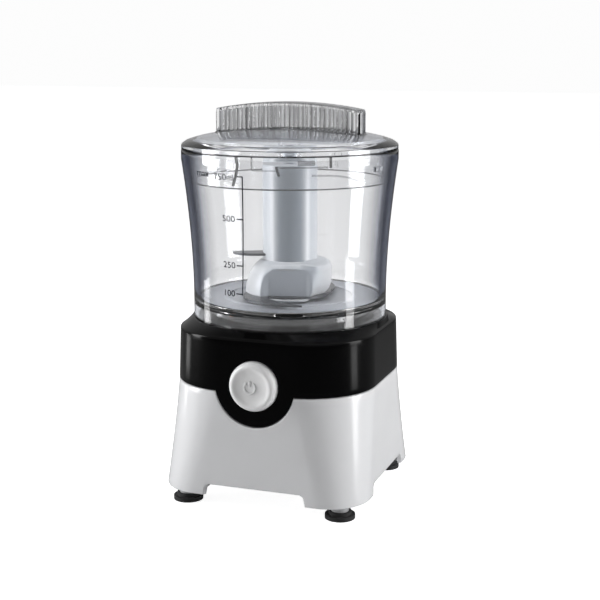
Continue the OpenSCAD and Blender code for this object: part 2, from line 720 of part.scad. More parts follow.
module interlock_spring() color("silver") {
    rotate(plunger_angle) translate([plunger_at, 0, guide_z + 1.25])
        coil(plunger_r + 0.95, 0.3, deck_z - guide_z - 2.95, 6);
}

module interlock_switch() color([0.12, 0.12, 0.13]) {
    rotate(plunger_angle) translate([plunger_at, 0, guide_z - interlock_travel - 1.2]) rotate(90)
        switch_body(switch_w * 0.8, switch_t, switch_h, lever);
}

/* Motor */
module motor_shaft() color("silver") {
    translate([0, 0, shaft_low]) cylinder(r = shaft_r, h = shaft_top - shaft_low);
}

module armature_core() color([0.45, 0.45, 0.47]) {
    difference() {
        tube(armature_r, shaft_r + 0.02, stack_z, stack_top);
        for (i = [0:11]) rotate(30 * i) {
            translate([armature_r - 3.4, 0, stack_z - 1]) cylinder(r = 2.2, h = stack_h + 2);
            block([armature_r - 3, -0.7, stack_z - 1], [armature_r + 1, 0.7, stack_top + 1]);
        }
    }
}

module armature_windings() color([0.72, 0.38, 0.16]) {
    for (z = [stack_z - 0.3 - end_turn_h, stack_top + 0.3]) translate([0, 0, z]) rotate_extrude()
        polygon([[shaft_r + 1.5, 0.8], [shaft_r + 3, 0], [armature_r - 3, 0], [armature_r - 1.6, 1.6],
            [armature_r - 1.6, end_turn_h - 1.6], [armature_r - 3, end_turn_h], [shaft_r + 3, end_turn_h],
            [shaft_r + 1.5, end_turn_h - 0.8]]);
    for (i = [0:11]) rotate(30 * i) translate([armature_r - 3.4, 0, stack_z - 1])
        cylinder(r = 1.9, h = stack_h + 2);
}

module commutator() color([0.78, 0.45, 0.22]) {
    difference() {
        tube(commutator_r, shaft_r + 0.02, brush_z - 4.4, brush_z + 4.4);
        for (i = [0:15]) rotate(22.5 * i)
            block([commutator_r - 1.2, -0.25, brush_z - 5], [commutator_r + 1, 0.25, brush_z + 5]);
    }
}

module cooling_fan() color([0.2, 0.22, 0.25]) {
    tube(7, shaft_r + 0.02, fan_z, fan_z + fan_h);
    tube(fan_r, 6, fan_z, fan_z + 1.2);
    for (i = [0:8]) rotate(40 * i) block([6.5, -0.6, fan_z + 0.6], [fan_r - 0.5, 0.6, fan_z + fan_h]);
}

coil_in = armature_r - 1.8;
coil_out = coil_in + 5.4;
coil_y1 = stator_y - 4;
coil_y0 = coil_y1 - 5;
coil_h = 6;

module stator_core() color([0.5, 0.5, 0.52]) {
    difference() {
        block([-stator_x, -stator_y, stack_z], [stator_x, stator_y, stack_top]);
        translate([0, 0, stack_z - 1]) cylinder(r = armature_r + air_gap, h = stack_h + 2);
        at_corners(0) for (s = [-1, 1]) block([s > 0 ? coil_in - 0.3 : -coil_out - 0.3, coil_y0 - 0.3, stack_z - 1],
            [s > 0 ? coil_out + 0.3 : -coil_in + 0.3, coil_y1 + 0.3, stack_top + 1]);
        for (s = [-1, 1]) block([s > 0 ? coil_in - 0.3 : -coil_out - 0.3, -coil_y1 - 0.3, stack_z - 1],
            [s > 0 ? coil_out + 0.3 : -coil_in + 0.3, -coil_y0 + 0.3, stack_top + 1]);
        at_corners(bolt_x, bolt_y) translate([0, 0, stack_z - 1]) cylinder(r = bolt_r + 0.1, h = stack_h + 2);
    }
}

module field_coils() color([0.75, 0.4, 0.18]) {
    for (s = [0, 180]) rotate(s) {
        for (t = [-1, 1]) block([coil_in, t > 0 ? coil_y0 : -coil_y1, stack_z - coil_h],
            [coil_out, t > 0 ? coil_y1 : -coil_y0, stack_top + coil_h]);
        for (z = [stack_z - coil_h, stack_top + 1])
            block([armature_r, -coil_y1, z], [coil_out + 0.6, coil_y1, z + coil_h - 1]);
    }
}

module bracket_plate(x, y, z) {
    intersection() {
        block([-x, -y, z], [x, y, z + bracket_t]);
        translate([0, 0, z]) cylinder(r = norm([x, y]) - 2, h = bracket_t);
    }
}

module motor_top_bracket() color([0.7, 0.71, 0.72]) {
    difference() {
        union() {
            bracket_plate(mount_x + 6, mount_y + 6, top_bracket_z);
            translate([0, 0, top_bracket_z]) cylinder(r = bush_r + 2, h = cup_h);
            at_corners(bolt_x, bolt_y) translate([0, 0, stack_top]) cylinder(r = sleeve_r, h = top_bracket_z - stack_top);
        }
        translate([0, 0, top_bracket_z + 0.8]) cylinder(r = bush_r + 0.03, h = cup_h);
        translate([0, 0, top_bracket_z - 1]) cylinder(r = shaft_r + 1, h = cup_h);
        at_corners(bolt_x, bolt_y) translate([0, 0, stack_top - 1])
            cylinder(r = bolt_r + 0.1, h = top_bracket_z + bracket_t - stack_top + 2);
        at_corners(mount_x, mount_y) translate([0, 0, top_bracket_z - 1]) cylinder(r = 3.5, h = bracket_t + 2);
        for (s = [-1, 1]) {
            block([s > 0 ? 11 : -22, -13, top_bracket_z - 1], [s > 0 ? 22 : -11, 13, top_bracket_z + bracket_t + 1]);
            block([-8, s > 0 ? 11 : -20, top_bracket_z - 1], [8, s > 0 ? 20 : -11, top_bracket_z + bracket_t + 1]);
        }
    }
}

brush_x = 3;
brush_t = 5;
holder_y0 = commutator_r + 1.5;
holder_y1 = holder_y0 + 15.5;

module motor_bottom_bracket() color([0.7, 0.71, 0.72]) {
    difference() {
        union() {
            bracket_plate(stator_x, stator_y, low_bracket_z);
            translate([0, 0, low_bracket_z - 4]) cylinder(r = bush_r + 2, h = 5);
            at_corners(bolt_x, bolt_y) translate([0, 0, low_bracket_z]) cylinder(r = sleeve_r, h = stack_z - low_bracket_z);
            for (s = [-1, 1]) block([-brush_x - 1, s > 0 ? holder_y0 + 2 : -stator_y, low_bracket_z + 1],
                [brush_x + 1, s > 0 ? stator_y : -holder_y0 - 2, brush_z - brush_t / 2 - 1.1]);
        }
        translate([0, 0, low_bracket_z - 3.2]) cylinder(r = bush_r + 0.03, h = 10);
        at_corners(bolt_x, bolt_y) translate([0, 0, low_bracket_z - 1])
            cylinder(r = bolt_r + 0.1, h = stack_z - low_bracket_z + 2);
    }
}

module bush(z0, z1) color([0.72, 0.55, 0.3]) tube(bush_r, shaft_r + bush_clear, z0, z1);

module upper_bearing() bush(top_bracket_z + 0.8, top_bracket_z + cup_h);
module lower_bearing() bush(low_bracket_z - 3.2, low_bracket_z + 3);

module both_brushes() {
    for (s = [0, 180]) rotate(s) children();
}

module brush_holders() color([0.8, 0.65, 0.3]) both_brushes() {
    difference() {
        block([-brush_x - 1, holder_y0, brush_z - brush_t / 2 - 1], [brush_x + 1, holder_y1, brush_z + brush_t / 2 + 1]);
        block([-brush_x - 0.15, holder_y0 - 1, brush_z - brush_t / 2 - 0.15],
            [brush_x + 0.15, holder_y1 - 1, brush_z + brush_t / 2 + 0.15]);
    }
}

module carbon_brushes() color([0.15, 0.15, 0.16]) both_brushes()
    block([-brush_x, commutator_r + 0.3, brush_z - brush_t / 2], [brush_x, holder_y1 - 6.5, brush_z + brush_t / 2]);

module brush_springs() color("silver") both_brushes()
    translate([0, holder_y1 - 1.1, brush_z]) rotate([90, 0, 0]) coil(1.8, 0.3, 5.3, 5, 12);

module motor_mounts() color([0.1, 0.1, 0.1]) at_corners(mount_x, mount_y) {
    tube(5, 2, top_bracket_z + bracket_t, mount_boss_z);
    tube(3.4, 2, top_bracket_z - 0.5, top_bracket_z + bracket_t + 0.5);
    tube(5, 2, top_bracket_z - 2.5, top_bracket_z);
}

// Pan head screw pointing up, its head's underside at z = 0
module screw(r, len, head_r, head_h) {
    translate([0, 0, -head_h]) cylinder(r = head_r, h = head_h);
    cylinder(r = r, h = len);
}

module motor_mount_screws() color("silver") at_corners(mount_x, mount_y)
    translate([0, 0, top_bracket_z - 2.6]) screw(1.5, mount_boss_z - top_bracket_z + 8, 4, 1.8);

module motor_bolts() color("silver") at_corners(bolt_x, bolt_y) {
    translate([0, 0, low_bracket_z]) screw(bolt_r, top_bracket_z + bracket_t - low_bracket_z + 2.4, 2.4, 1.6);
    tube(2.4, bolt_r - 0.1, top_bracket_z + bracket_t, top_bracket_z + bracket_t + 2);
}

module housing_screws() color("silver") at_corners(post_at)
    translate([0, 0, joint_z - 4]) screw(1.35, 18, 3, 2.2);

module base_screws() color("silver") {
    at_base_bosses() translate([0, 0, plate_z + 0.8]) screw(1.35, 11, 3, 1.6);
    for (s = [-1, 1]) translate([s * 8, clamp_y, cord_z + clamp_h]) rotate([180, 0, 0])
        screw(1.35, clamp_h + cord_z - plate_top - 0.5, 2.6, 1.4);
}

/* Mains parts */
clamp_y = leg_half - 19.7;
clamp_h = 6;
cap_x = 13.5 - post_at;
cap_y = max(post_at - 8.5, stator_y + 5);
cap_h = 13;

module suppression_capacitor() color([0.85, 0.7, 0.15]) translate([cap_x, cap_y, plate_top + 0.1]) {
    difference() {
        block([-9, -4, 0], [9, 4, cap_h]);
        for (s = [-1, 1]) translate([s * 7.5, 0, cap_h - 4]) cylinder(r = 0.8, h = 8);
    }
}

// Rubber gland with a flange on each side of the sloping rear wall
module cord_gland() color([0.1, 0.1, 0.1]) {
    collar = cord_bore_r + 4;
    outer_face = max(half_at(cord_z - collar), half_at(cord_z + collar)) + 0.02;
    inner_face = min(half_at(cord_z - collar), half_at(cord_z + collar)) - shell_wall - 0.02;
    translate([0, 0, cord_z]) rotate([-90, 0, 0]) {
        tube(collar, cord_bore_r, outer_face, reach_y);
        tube(cord_bore_r + 1.65, cord_bore_r, inner_face - 2, outer_face + 1);
        tube(collar - 0.8, cord_bore_r, inner_face - 2, inner_face);
    }
}

module cord_clamp() color([0.3, 0.3, 0.31]) {
    difference() {
        block([-12, clamp_y - 4, plate_top + 0.1], [12, clamp_y + 4, cord_z + clamp_h]);
        translate([0, clamp_y - 5, cord_z]) rotate([-90, 0, 0]) cylinder(r = cord_bore_r, h = 10);
        for (s = [-1, 1]) translate([s * 8, clamp_y, plate_top]) cylinder(r = 1.6, h = 30);
    }
}

// Insulated wires, swept along their routes with mitred corners
function unit(v) = v / norm(v);
module wire(route, r = 0.9, sides = 8) {
    last = len(route) - 1;
    loft([for (i = [0:last])
        let (t = unit((i > 0 ? unit(route[i] - route[i - 1]) : [0, 0, 0])
                + (i < last ? unit(route[i + 1] - route[i]) : [0, 0, 0])),
            u = unit(cross([0.31, 0.27, 1], t)), v = cross(t, u))
        [for (k = [0:sides - 1]) route[i] + r * (u * cos(360 * k / sides) + v * sin(360 * k / sides))]]);
}

module wiring() color([0.1, 0.25, 0.6]) {
    cord_end = clamp_y - 6;
    pulse_pin = -bracket_y + 2.1 + switch_h + 4.2;
    cap_pin = plate_top + cap_h + 1.3;
    lock_pin = guide_z - interlock_travel - 1.2 - switch_h - 4.2;
    lock = [for (s = [-1, 1]) let (a = plunger_angle, d = s * switch_w * 0.32)
        [plunger_at * cos(a) - d * sin(a), plunger_at * sin(a) + d * cos(a), lock_pin]];
    brush_pin = holder_y1 + 1.2;
    wire([[2, cord_end, cord_z], [12, cord_end - 2, cord_z + 2], [32, 30, cord_z + 8], [44, 12, 44], [44, -14, 62],
        [36, -27, 70], [20, pulse_pin - 1, button_z - 2], [switch_w * 0.4, pulse_pin, button_z]]);
    wire([[-2, cord_end, cord_z], [-8, cord_end - 2, cord_z + 6], [cap_x + 7.5, cap_y + 2, cap_pin + 5],
        [cap_x + 7.5, cap_y, cap_pin]]);
    wire([[cap_x - 7.5, cap_y, cap_pin], [cap_x - 9, cap_y, cap_pin + 6], [-43, 28, 48], lock[0] - [0, 0, 5], lock[0]]);
    wire([[-switch_w * 0.4, pulse_pin, button_z], [-16, pulse_pin - 1, button_z - 4], [-31, -29, 62],
        [-24, -31, 44], [-6, -brush_pin - 4, brush_z + 3], [0, -brush_pin, brush_z]]);
    wire([lock[1], lock[1] - [0, 0, 5], [-43, 12, 50], [-34, 24, 44], [-10, brush_pin + 5, brush_z + 6],
        [0, brush_pin, brush_z]]);
}

lid();
bowl();
blade_hub();
upper_blade();
lower_blade();
drive_spindle();
shaft_seal();
upper_housing();
lower_housing();
bottom_plate();
foot_front_left();
foot_front_right();
foot_rear_left();
foot_rear_right();
push_button();
button_spring();
pulse_switch();
switch_bracket();
interlock_plunger();
interlock_spring();
interlock_switch();
motor_shaft();
armature_core();
armature_windings();
commutator();
cooling_fan();
stator_core();
field_coils();
motor_top_bracket();
motor_bottom_bracket();
upper_bearing();
lower_bearing();
brush_holders();
carbon_brushes();
brush_springs();
motor_mounts();
motor_mount_screws();
motor_bolts();
housing_screws();
base_screws();
suppression_capacitor();
cord_gland();
cord_clamp();
wiring();
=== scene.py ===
import math
import bmesh
import bpy
import numpy as np
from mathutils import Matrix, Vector


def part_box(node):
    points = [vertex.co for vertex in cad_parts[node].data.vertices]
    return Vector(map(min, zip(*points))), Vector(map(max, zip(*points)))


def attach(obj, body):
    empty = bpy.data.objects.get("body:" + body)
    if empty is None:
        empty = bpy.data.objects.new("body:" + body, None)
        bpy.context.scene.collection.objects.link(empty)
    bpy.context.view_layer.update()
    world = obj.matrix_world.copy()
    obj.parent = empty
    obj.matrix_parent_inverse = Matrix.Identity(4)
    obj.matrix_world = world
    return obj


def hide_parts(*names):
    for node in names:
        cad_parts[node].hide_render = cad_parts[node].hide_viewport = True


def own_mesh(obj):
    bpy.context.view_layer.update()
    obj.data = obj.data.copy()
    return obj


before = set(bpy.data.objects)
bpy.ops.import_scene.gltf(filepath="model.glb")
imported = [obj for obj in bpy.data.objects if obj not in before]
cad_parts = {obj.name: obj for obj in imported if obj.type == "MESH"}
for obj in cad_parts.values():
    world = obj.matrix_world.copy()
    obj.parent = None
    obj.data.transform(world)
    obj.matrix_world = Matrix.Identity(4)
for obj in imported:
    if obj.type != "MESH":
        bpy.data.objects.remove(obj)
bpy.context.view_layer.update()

# ----------------------------------------------------------------------------------------------
# Table top and lamps
# The processor stands on a matt white table. A tall diffuser and a small low strip stand on
# each side of it, a broad one hangs over it, and a weak one fills in from the front.


class Value:
    """One number or colour on its way between shader nodes; arithmetic on it adds Math nodes."""

    def __init__(self, finish, socket):
        self.finish, self.socket = finish, socket

    def maths(self, operation, *terms):
        node = self.finish.tree.nodes.new("ShaderNodeMath")
        node.operation = operation
        for slot, term in zip(node.inputs, terms):
            self.finish.plug(slot, term)
        return Value(self.finish, node.outputs[0])

    def __add__(self, other): return self.maths("ADD", self, other)
    def __radd__(self, other): return self.maths("ADD", other, self)
    def __sub__(self, other): return self.maths("SUBTRACT", self, other)
    def __rsub__(self, other): return self.maths("SUBTRACT", other, self)
    def __mul__(self, other): return self.maths("MULTIPLY", self, other)
    def __rmul__(self, other): return self.maths("MULTIPLY", other, self)
    def __truediv__(self, other): return self.maths("DIVIDE", self, other)
    def __rtruediv__(self, other): return self.maths("DIVIDE", other, self)
    def __pow__(self, other): return self.maths("POWER", self, other)
    def __rpow__(self, other): return self.maths("POWER", other, self)
    def __abs__(self): return self.maths("ABSOLUTE", self)
    def either(self, other): return self.maths("MAXIMUM", self, other)
    def sine(self): return self.maths("SINE", self)


class Finish:
    """A procedural material: its Principled shader's own sockets take the plain numbers."""

    def __init__(self, name, tree=None, **sockets):
        if tree is None:
            self.material = bpy.data.materials.new(name)
            self.material.use_nodes = True
            tree = self.material.node_tree
            self.shader = tree.nodes["Principled BSDF"]
        self.tree = tree
        for socket, term in sockets.items():
            self.plug(self.shader.inputs[socket.replace("_", " ")], term)

    def plug(self, slot, term):
        if isinstance(term, Value):
            self.tree.links.new(term.socket, slot)
        elif isinstance(term, tuple) and len(term) == 3 and slot.type == "RGBA":
            slot.default_value = (*term, 1)
        else:
            slot.default_value = term

    def node(self, kind, output=0, settings=None, sockets=None):
        """Any other node: its type, its settings, and values or links for its sockets."""
        node = self.tree.nodes.new("ShaderNode" + kind)
        for setting, choice in (settings or {}).items():
            setattr(node, setting, choice)
        for slot, term in (sockets or {}).items():
            self.plug(node.inputs[slot], term)
        return Value(self, node.outputs[output])

    def place(self):
        return self.node("TexCoord", "Object")

    def noise(self, scale, detail=3.0, at=None):
        return self.node("TexNoise", sockets={
            "Vector": at or self.place(), "Scale": scale, "Detail": detail, "Roughness": 0.55})

    def ramp(self, value, *stops, smooth=False):
        """A colour that runs through the stops, each a position and a colour."""
        shade = self.node("ValToRGB", sockets={"Fac": value})
        band = shade.socket.node.color_ramp
        band.interpolation = "EASE" if smooth else "LINEAR"
        for at, colour in stops[1:-1]:
            band.elements.new(at)
        for element, (at, colour) in zip(sorted(band.elements, key=lambda e: e.position), stops):
            element.position = at
            element.color = (*colour, 1)
        band.elements[0].position, band.elements[-1].position = stops[0][0], stops[-1][0]
        return shade

    def bump(self, height, distance, strength=1.0):
        """Height in metres of relief, as a normal."""
        self.plug(self.shader.inputs["Normal"], self.node("Bump", sockets={
            "Height": height, "Distance": distance, "Strength": strength}))


def surface(name, grid, closed=(False, True), sharp=40, weld=False):
    """A grid of points (rows, columns, xyz in millimetres) becomes one mesh of quads.
    Where closed says so, the last row or column joins the first. Faces are turned outward."""
    grid = np.asarray(grid, float) * 0.001
    rows, columns = grid.shape[:2]
    i = np.arange(rows if closed[0] else rows - 1)[:, None]
    j = np.arange(columns if closed[1] else columns - 1)[None, :]
    after, beside = (i + 1) % rows, (j + 1) % columns
    quads = np.stack([i * columns + j, i * columns + beside, after * columns + beside,
                      after * columns + j], -1).reshape(-1, 4)
    mesh = bpy.data.meshes.new(name)
    mesh.from_pydata(grid.reshape(-1, 3), [], quads.tolist())
    finish_mesh(mesh, sharp, weld)
    piece = bpy.data.objects.new(name, mesh)
    bpy.context.scene.collection.objects.link(piece)
    return piece


def finish_mesh(mesh, sharp, weld):
    """Doubled points are joined where asked, faces face outward, edges steeper than sharp stay crisp."""
    work = bmesh.new()
    work.from_mesh(mesh)
    if weld:
        bmesh.ops.remove_doubles(work, verts=work.verts, dist=2e-6)
        bmesh.ops.dissolve_degenerate(work, edges=work.edges, dist=1e-7)
    bmesh.ops.recalc_face_normals(work, faces=work.faces)
    work.to_mesh(mesh)
    work.free()
    mesh.polygons.foreach_set("use_smooth", np.ones(len(mesh.polygons), bool))
    mesh.set_sharp_from_angle(angle=math.radians(sharp))


def lamp(name, place, aim, size, radiance):
    """An area lamp of the given width and height in metres, and its brightness as seen."""
    light = bpy.data.lights.new(name, "AREA")
    light.shape = "RECTANGLE"
    light.size, light.size_y = size
    light.energy = radiance * math.pi * size[0] * size[1]
    holder = bpy.data.objects.new(name, light)
    holder.location = place
    holder.rotation_euler = (Vector(aim) - Vector(place)).to_track_quat("-Z", "Y").to_euler()
    bpy.context.scene.collection.objects.link(holder)


def seen_directly(finish):
    """1 for what the camera sees, straight or through clear plastic; 0 for light that spreads."""
    return finish.node("LightPath", "Is Camera Ray").either(finish.node("LightPath", "Is Transmission Ray"))


scene = bpy.context.scene
scene.view_settings.view_transform = "Standard"

table_finish = Finish("table_white", Roughness=0.9,
                      Emission_Strength=1.0, Specular_IOR_Level=0.1)
# Reflections see the table without its glow and darker, and the room dimmer, than the camera does
table_glow, table_white, mirrored_less = 0.88, 0.82, 0.55
glow = seen_directly(table_finish) * table_glow
table_finish.plug(table_finish.shader.inputs["Emission Color"],
                  table_finish.node("CombineColor", sockets={"Red": glow, "Green": glow, "Blue": glow}))
shade = table_white - table_finish.node("LightPath", "Is Glossy Ray") * mirrored_less
table_finish.plug(table_finish.shader.inputs["Base Color"],
                  table_finish.node("CombineColor", sockets={"Red": shade, "Green": shade, "Blue": shade}))
table_finish.bump(table_finish.noise(60), 0.0001, 0.3)
table_half = np.linspace(-6000, 6000, 9)
table_x, table_y = np.meshgrid(table_half, table_half)
table = surface("table_top", np.stack([table_x, table_y, 0 * table_x], -1), closed=(False, False))
if table.data.polygons[0].normal.z < 0:
    table.data.flip_normals()
table.data.materials.append(table_finish.material)

room = bpy.data.worlds.new("room")
room.use_nodes = True
scene.world = room
air = Finish("room", tree=room.node_tree)
air.plug(room.node_tree.nodes["Background"].inputs["Color"], (1.0, 1.0, 1.0))
room_seen, room_light, room_mirrored = 0.84, 0.14, 0.32
only_mirrored = air.node("LightPath", "Is Glossy Ray") * (1 - air.node("LightPath", "Is Transmission Ray"))
air.plug(room.node_tree.nodes["Background"].inputs["Strength"],
         seen_directly(air) * room_seen + room_light + only_mirrored * room_mirrored)

lamp("lamp_right", (0.95, 0.13, 0.30), (0, 0, 0.10), (0.40, 1.0), 7.0)
lamp("strip_right", (0.40, 0.0, 0.027), (0, 0, 0.027), (0.08, 0.05), 5.5)
lamp("strip_left", (-0.40, 0.0, 0.027), (0, 0, 0.027), (0.08, 0.05), 3.2)
lamp("lamp_left", (-0.95, -0.31, 0.30), (0, 0, 0.10), (0.35, 1.0), 10.2)
lamp("lamp_above", (0.05, 0.10, 1.25), (0, 0, 0.1), (0.9, 0.9), 1.0)
lamp("lamp_front", (-0.25, -1.35, 0.75), (0, 0, 0.12), (0.7, 0.5), 0.2)

lens = bpy.data.cameras.new("camera")
lens.lens, lens.sensor_width, lens.sensor_fit = 76.32, 36.0, "HORIZONTAL"
lens.clip_start, lens.clip_end = 0.05, 30
camera = bpy.data.objects.new("camera", lens)
turn, pitch = math.radians(19.545), math.radians(11.55)
camera.location = (0.2565, -0.7048, 0.2679)
camera.rotation_euler = Vector((-math.sin(turn) * math.cos(pitch), math.cos(turn) * math.cos(pitch),
                                -math.sin(pitch))).to_track_quat("-Z", "Y").to_euler()
scene.collection.objects.link(camera)
scene.camera = camera

# ----------------------------------------------------------------------------------------------
# Feet and bottom plate
# Four black rubber suction feet are pushed over posts under the grey bottom plate, which is
# moulded in ABS and held to the white housing by four small screws.


def dress(finish, *nodes):
    """The finish goes on the CAD nodes that keep their own shape."""
    for node in nodes:
        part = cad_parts[node]
        if not part.material_slots:
            part.data.materials.append(finish.material)
        for slot in part.material_slots:
            slot.material = finish.material


def moulded(name, colour, roughness, grain=1400, relief=0.00001, cloud=0.03, **sockets):
    """Moulded plastic or rubber: spark-eroded grain as relief, gloss that drifts slowly over it,
    and a colour that clouds by a few parts in a hundred."""
    finish = Finish(name, **sockets)
    drift = finish.noise(35)
    tone = finish.node("MapRange", sockets={"Value": drift, "From Min": 0.3, "From Max": 0.7,
                                            "To Min": 1 - cloud, "To Max": 1 + cloud})
    finish.plug(finish.shader.inputs["Base Color"], finish.node("Mix", 2, {
        "data_type": "RGBA", "blend_type": "MULTIPLY"}, {0: 1.0, 6: (*colour, 1), 7: tone}))
    finish.plug(finish.shader.inputs["Roughness"], finish.noise(220, 2.0) * 0.08 + (roughness - 0.04))
    finish.bump(finish.noise(grain, 2.0), relief)
    return finish


rubber = moulded("rubber", (0.022, 0.022, 0.023), 0.62, grain=900, relief=0.00004, cloud=0.12)
dress(rubber, "foot_front_left", "foot_front_right", "foot_rear_left", "foot_rear_right", "motor_mounts",
      "cord_gland", "shaft_seal")
dress(moulded("grey_plastic", (0.56, 0.565, 0.58), 0.45), "bottom_plate")

# ----------------------------------------------------------------------------------------------
# White housing
# Glossy white ABS, one thin moulding open above and below. Its sides swell towards four legs,
# an arch is cut between each two, and its upper edge dips round the button's black lobe.

seam_z, leg_z, collar_top_z, seat_z = 71.6, 9.0, 103.0, 107.0
bowl_r, seam_half, leg_half, top_half = 57.5, 60.2, 62.7, 59.3
seam_corner, leg_corner, shell_wall = 39.5, 25.0, 2.4
arch_half, arch_z, arch_fillet = 31.0, 15.6, 4.0
button_z, lobe_r = 76.5, 24.2

# Distance from the middle to a side's face where the columns, the lobe and the arches are laid out
columns_y, lobe_y, arches_y = 61.6, 60.6, 62.45
seam_blend = 1.6


def outline(angle, half, corner):
    """Distance from the centre to a square of the given half width with round corners, along
    each angle: the flat side where the ray meets it, else the corner circle's far crossing."""
    c, s = np.abs(np.cos(angle)), np.abs(np.sin(angle))
    middle = half - corner
    along = middle * (c + s)
    arc = along + np.sqrt(np.maximum(corner ** 2 - 2 * middle ** 2 + along ** 2, 0))
    return np.where(half / np.maximum(c, s) * np.minimum(c, s) <= middle, half / np.maximum(c, s), arc)


def half_at(z):
    """Half width of the base: straight above the seam, a 3/2 power curve below it."""
    above = seam_half + (top_half - seam_half) * (z - seam_z) / (collar_top_z - seam_z)
    below = seam_half + (leg_half - seam_half) * (np.maximum(seam_z - z, 0) / (seam_z - leg_z)) ** 1.5
    return np.where(z > seam_z, above, below)


def corner_at(z):
    """Corner radius of the base: constant above the seam, and shrinking evenly below it."""
    return np.where(z > seam_z, seam_corner,
                    seam_corner + (leg_corner - seam_corner) * (seam_z - z) / (seam_z - leg_z))


# Columns of points stand closest where an arch, the lobe or a corner needs them
side_x = np.concatenate([np.linspace(0, 21, 15), np.linspace(21.6, 25.2, 13), [26, 27],
                         np.linspace(27.4, 31, 10), [31.06, 31.2, 31.6, 32.6]])
corner_turns = np.linspace(math.atan(34 / columns_y), math.pi / 4, 14)
half_side = np.concatenate([np.arctan(side_x / columns_y), corner_turns])
side = np.concatenate([-half_side[:0:-1], half_side])
turns = np.concatenate([side[:-1] + k * math.pi / 2 for k in range(4)]) - math.pi / 2
size_x, size_y = np.abs(np.cos(turns)), np.abs(np.sin(turns))
across = np.where(size_x < size_y, size_x / np.maximum(size_y, 1e-9), size_y / np.maximum(size_x, 1e-9))
on_front = (np.sin(turns) < 0) & (size_x < size_y)


def seam_line(radius):
    """Height of the seam in every column: level, but round the lobe it follows the circle's lower
    half, joined to the level by a smooth minimum so that the shoulders are filleted."""
    x = np.where(on_front, across * lobe_y, 60)
    circle = button_z - np.sqrt(np.maximum(radius ** 2 - x ** 2, 0)) + 6 * np.maximum(x - radius, 0)
    blend = np.clip(0.5 + 0.5 * (circle - seam_z) / seam_blend, 0, 1)
    return circle * (1 - blend) + seam_z * blend - seam_blend * blend * (1 - blend)


def arch_line():
    """Height of the lower edge in every column: the arch's flat top, its fillet, its upright end."""
    x = across * arches_y
    past = np.maximum(x - arch_half + arch_fillet, 0)
    fillet = arch_z - arch_fillet + np.sqrt(np.maximum(arch_fillet ** 2 - past ** 2, 0))
    return np.where(x < arch_half, fillet, np.maximum(leg_z, fillet - (x - arch_half) * 40))


def wall_ring(inset, height):
    """One row of points round the base at the given heights, drawn in by inset."""
    reach = outline(turns, half_at(height) - inset, corner_at(height) - inset)
    return np.stack([reach * np.cos(turns), reach * np.sin(turns), height + 0 * turns], -1)


def edge(low, size, up=1):
    """Three rows that round an edge of the given size: inset and height follow a quarter circle."""
    return [wall_ring(size * (1 - math.sin(a)), low + up * size * (1 - math.cos(a)))
            for a in (0.0, 0.55, 1.1)]


half_gap, edge_round = 0.15, 0.7
low, top = arch_line(), seam_line(lobe_r + half_gap) - half_gap
white_rows = edge(low, edge_round)
white_rows += [wall_ring(0, low + edge_round + (top - low - 2 * edge_round) * w)
               for w in np.linspace(0, 1, 18)]
white_rows += edge(top, edge_round, -1)[::-1]
white_rows += [wall_ring(shell_wall, low + (top - low) * w) for w in np.linspace(1, 0, 12)]
white_housing = surface("white_housing", white_rows, closed=(True, True), sharp=50)
white_gloss = moulded("white_gloss", (0.80, 0.805, 0.82), 0.22, relief=0.000004, cloud=0.012,
                      Coat_Weight=0.25, Coat_Roughness=0.08)
white_housing.data.materials.append(white_gloss.material)
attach(white_housing, "base")
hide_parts("lower_housing")

# ----------------------------------------------------------------------------------------------
# Black collar
# Glossy black ABS that closes the housing. Its crown runs from the rounded square up to the
# bowl's round seat, and inside lies the well with the bayonet lip and the boss of the seal.

lip_r, groove_r, lip_half_turn = 50.0, 53.4, 8.5
well_z, deck_z, boss_r, seal_r, spindle_bore = 98.0, 95.0, 12.0, 9.0, 7.0
button_hole_r = 14.75


def crown_ring(share, height, inset=1.1):
    """A row between the rounded square (share 0) and the bowl's seat circle (share 1)."""
    square = outline(turns, top_half - inset, seam_corner - inset)
    reach = square * (1 - share) + (bowl_r + 0.6) * share
    return np.stack([reach * np.cos(turns), reach * np.sin(turns), height + 0 * turns], -1)


def round_ring(radius, height):
    """A row on a circle; the radius may differ from column to column."""
    return np.stack([radius * np.cos(turns), radius * np.sin(turns), height + 0 * turns], -1)


notch = np.abs((np.degrees(turns) - 50 + 45) % 90 - 45)
lip = np.clip((lip_half_turn - notch) * 4, 0, 1) * (groove_r - lip_r) + lip_r
foot = seam_line(lobe_r) + half_gap
collar_rows = edge(foot, edge_round)
collar_rows += [wall_ring(0, foot + edge_round + (collar_top_z - 1.4 - foot - edge_round) * w)
                for w in np.linspace(0, 1, 12)]
collar_rows += [crown_ring(0, collar_top_z - 1.1 + 1.1 * math.sin(a), 1.1 - 1.1 * math.cos(a))
                for a in (0.35, 0.75, 1.2)]
collar_rows += [crown_ring(s, collar_top_z + (seat_z - collar_top_z) * s ** 0.92)
                for s in np.linspace(0.08, 0.97, 12)]
seat_lip = [(58.0, seat_z - 0.04), (57.6, seat_z), (lip + 0.5, seat_z), (lip, seat_z - 0.4),
            (lip, seat_z - 2.4), (lip + 0.2, seat_z - 2.6), (groove_r, seat_z - 2.6)]
well_floor = [(groove_r, well_z + 0.5), (groove_r - 0.5, well_z), (boss_r + 0.5, well_z),
              (boss_r, well_z + 0.5)]
seal_boss = [(boss_r, well_z + 11.5), (boss_r - 0.5, well_z + 12), (seal_r + 0.3, well_z + 12),
             (seal_r, well_z + 11.7), (seal_r, well_z + 4), (spindle_bore, well_z + 4),
             (spindle_bore, deck_z), (groove_r + 1.8, deck_z)]
collar_rows += [round_ring(r, z) for r, z in seat_lip + well_floor + seal_boss]
collar_rows += [wall_ring(shell_wall, deck_z + (foot - deck_z) * w) for w in np.linspace(0.06, 1, 6)]
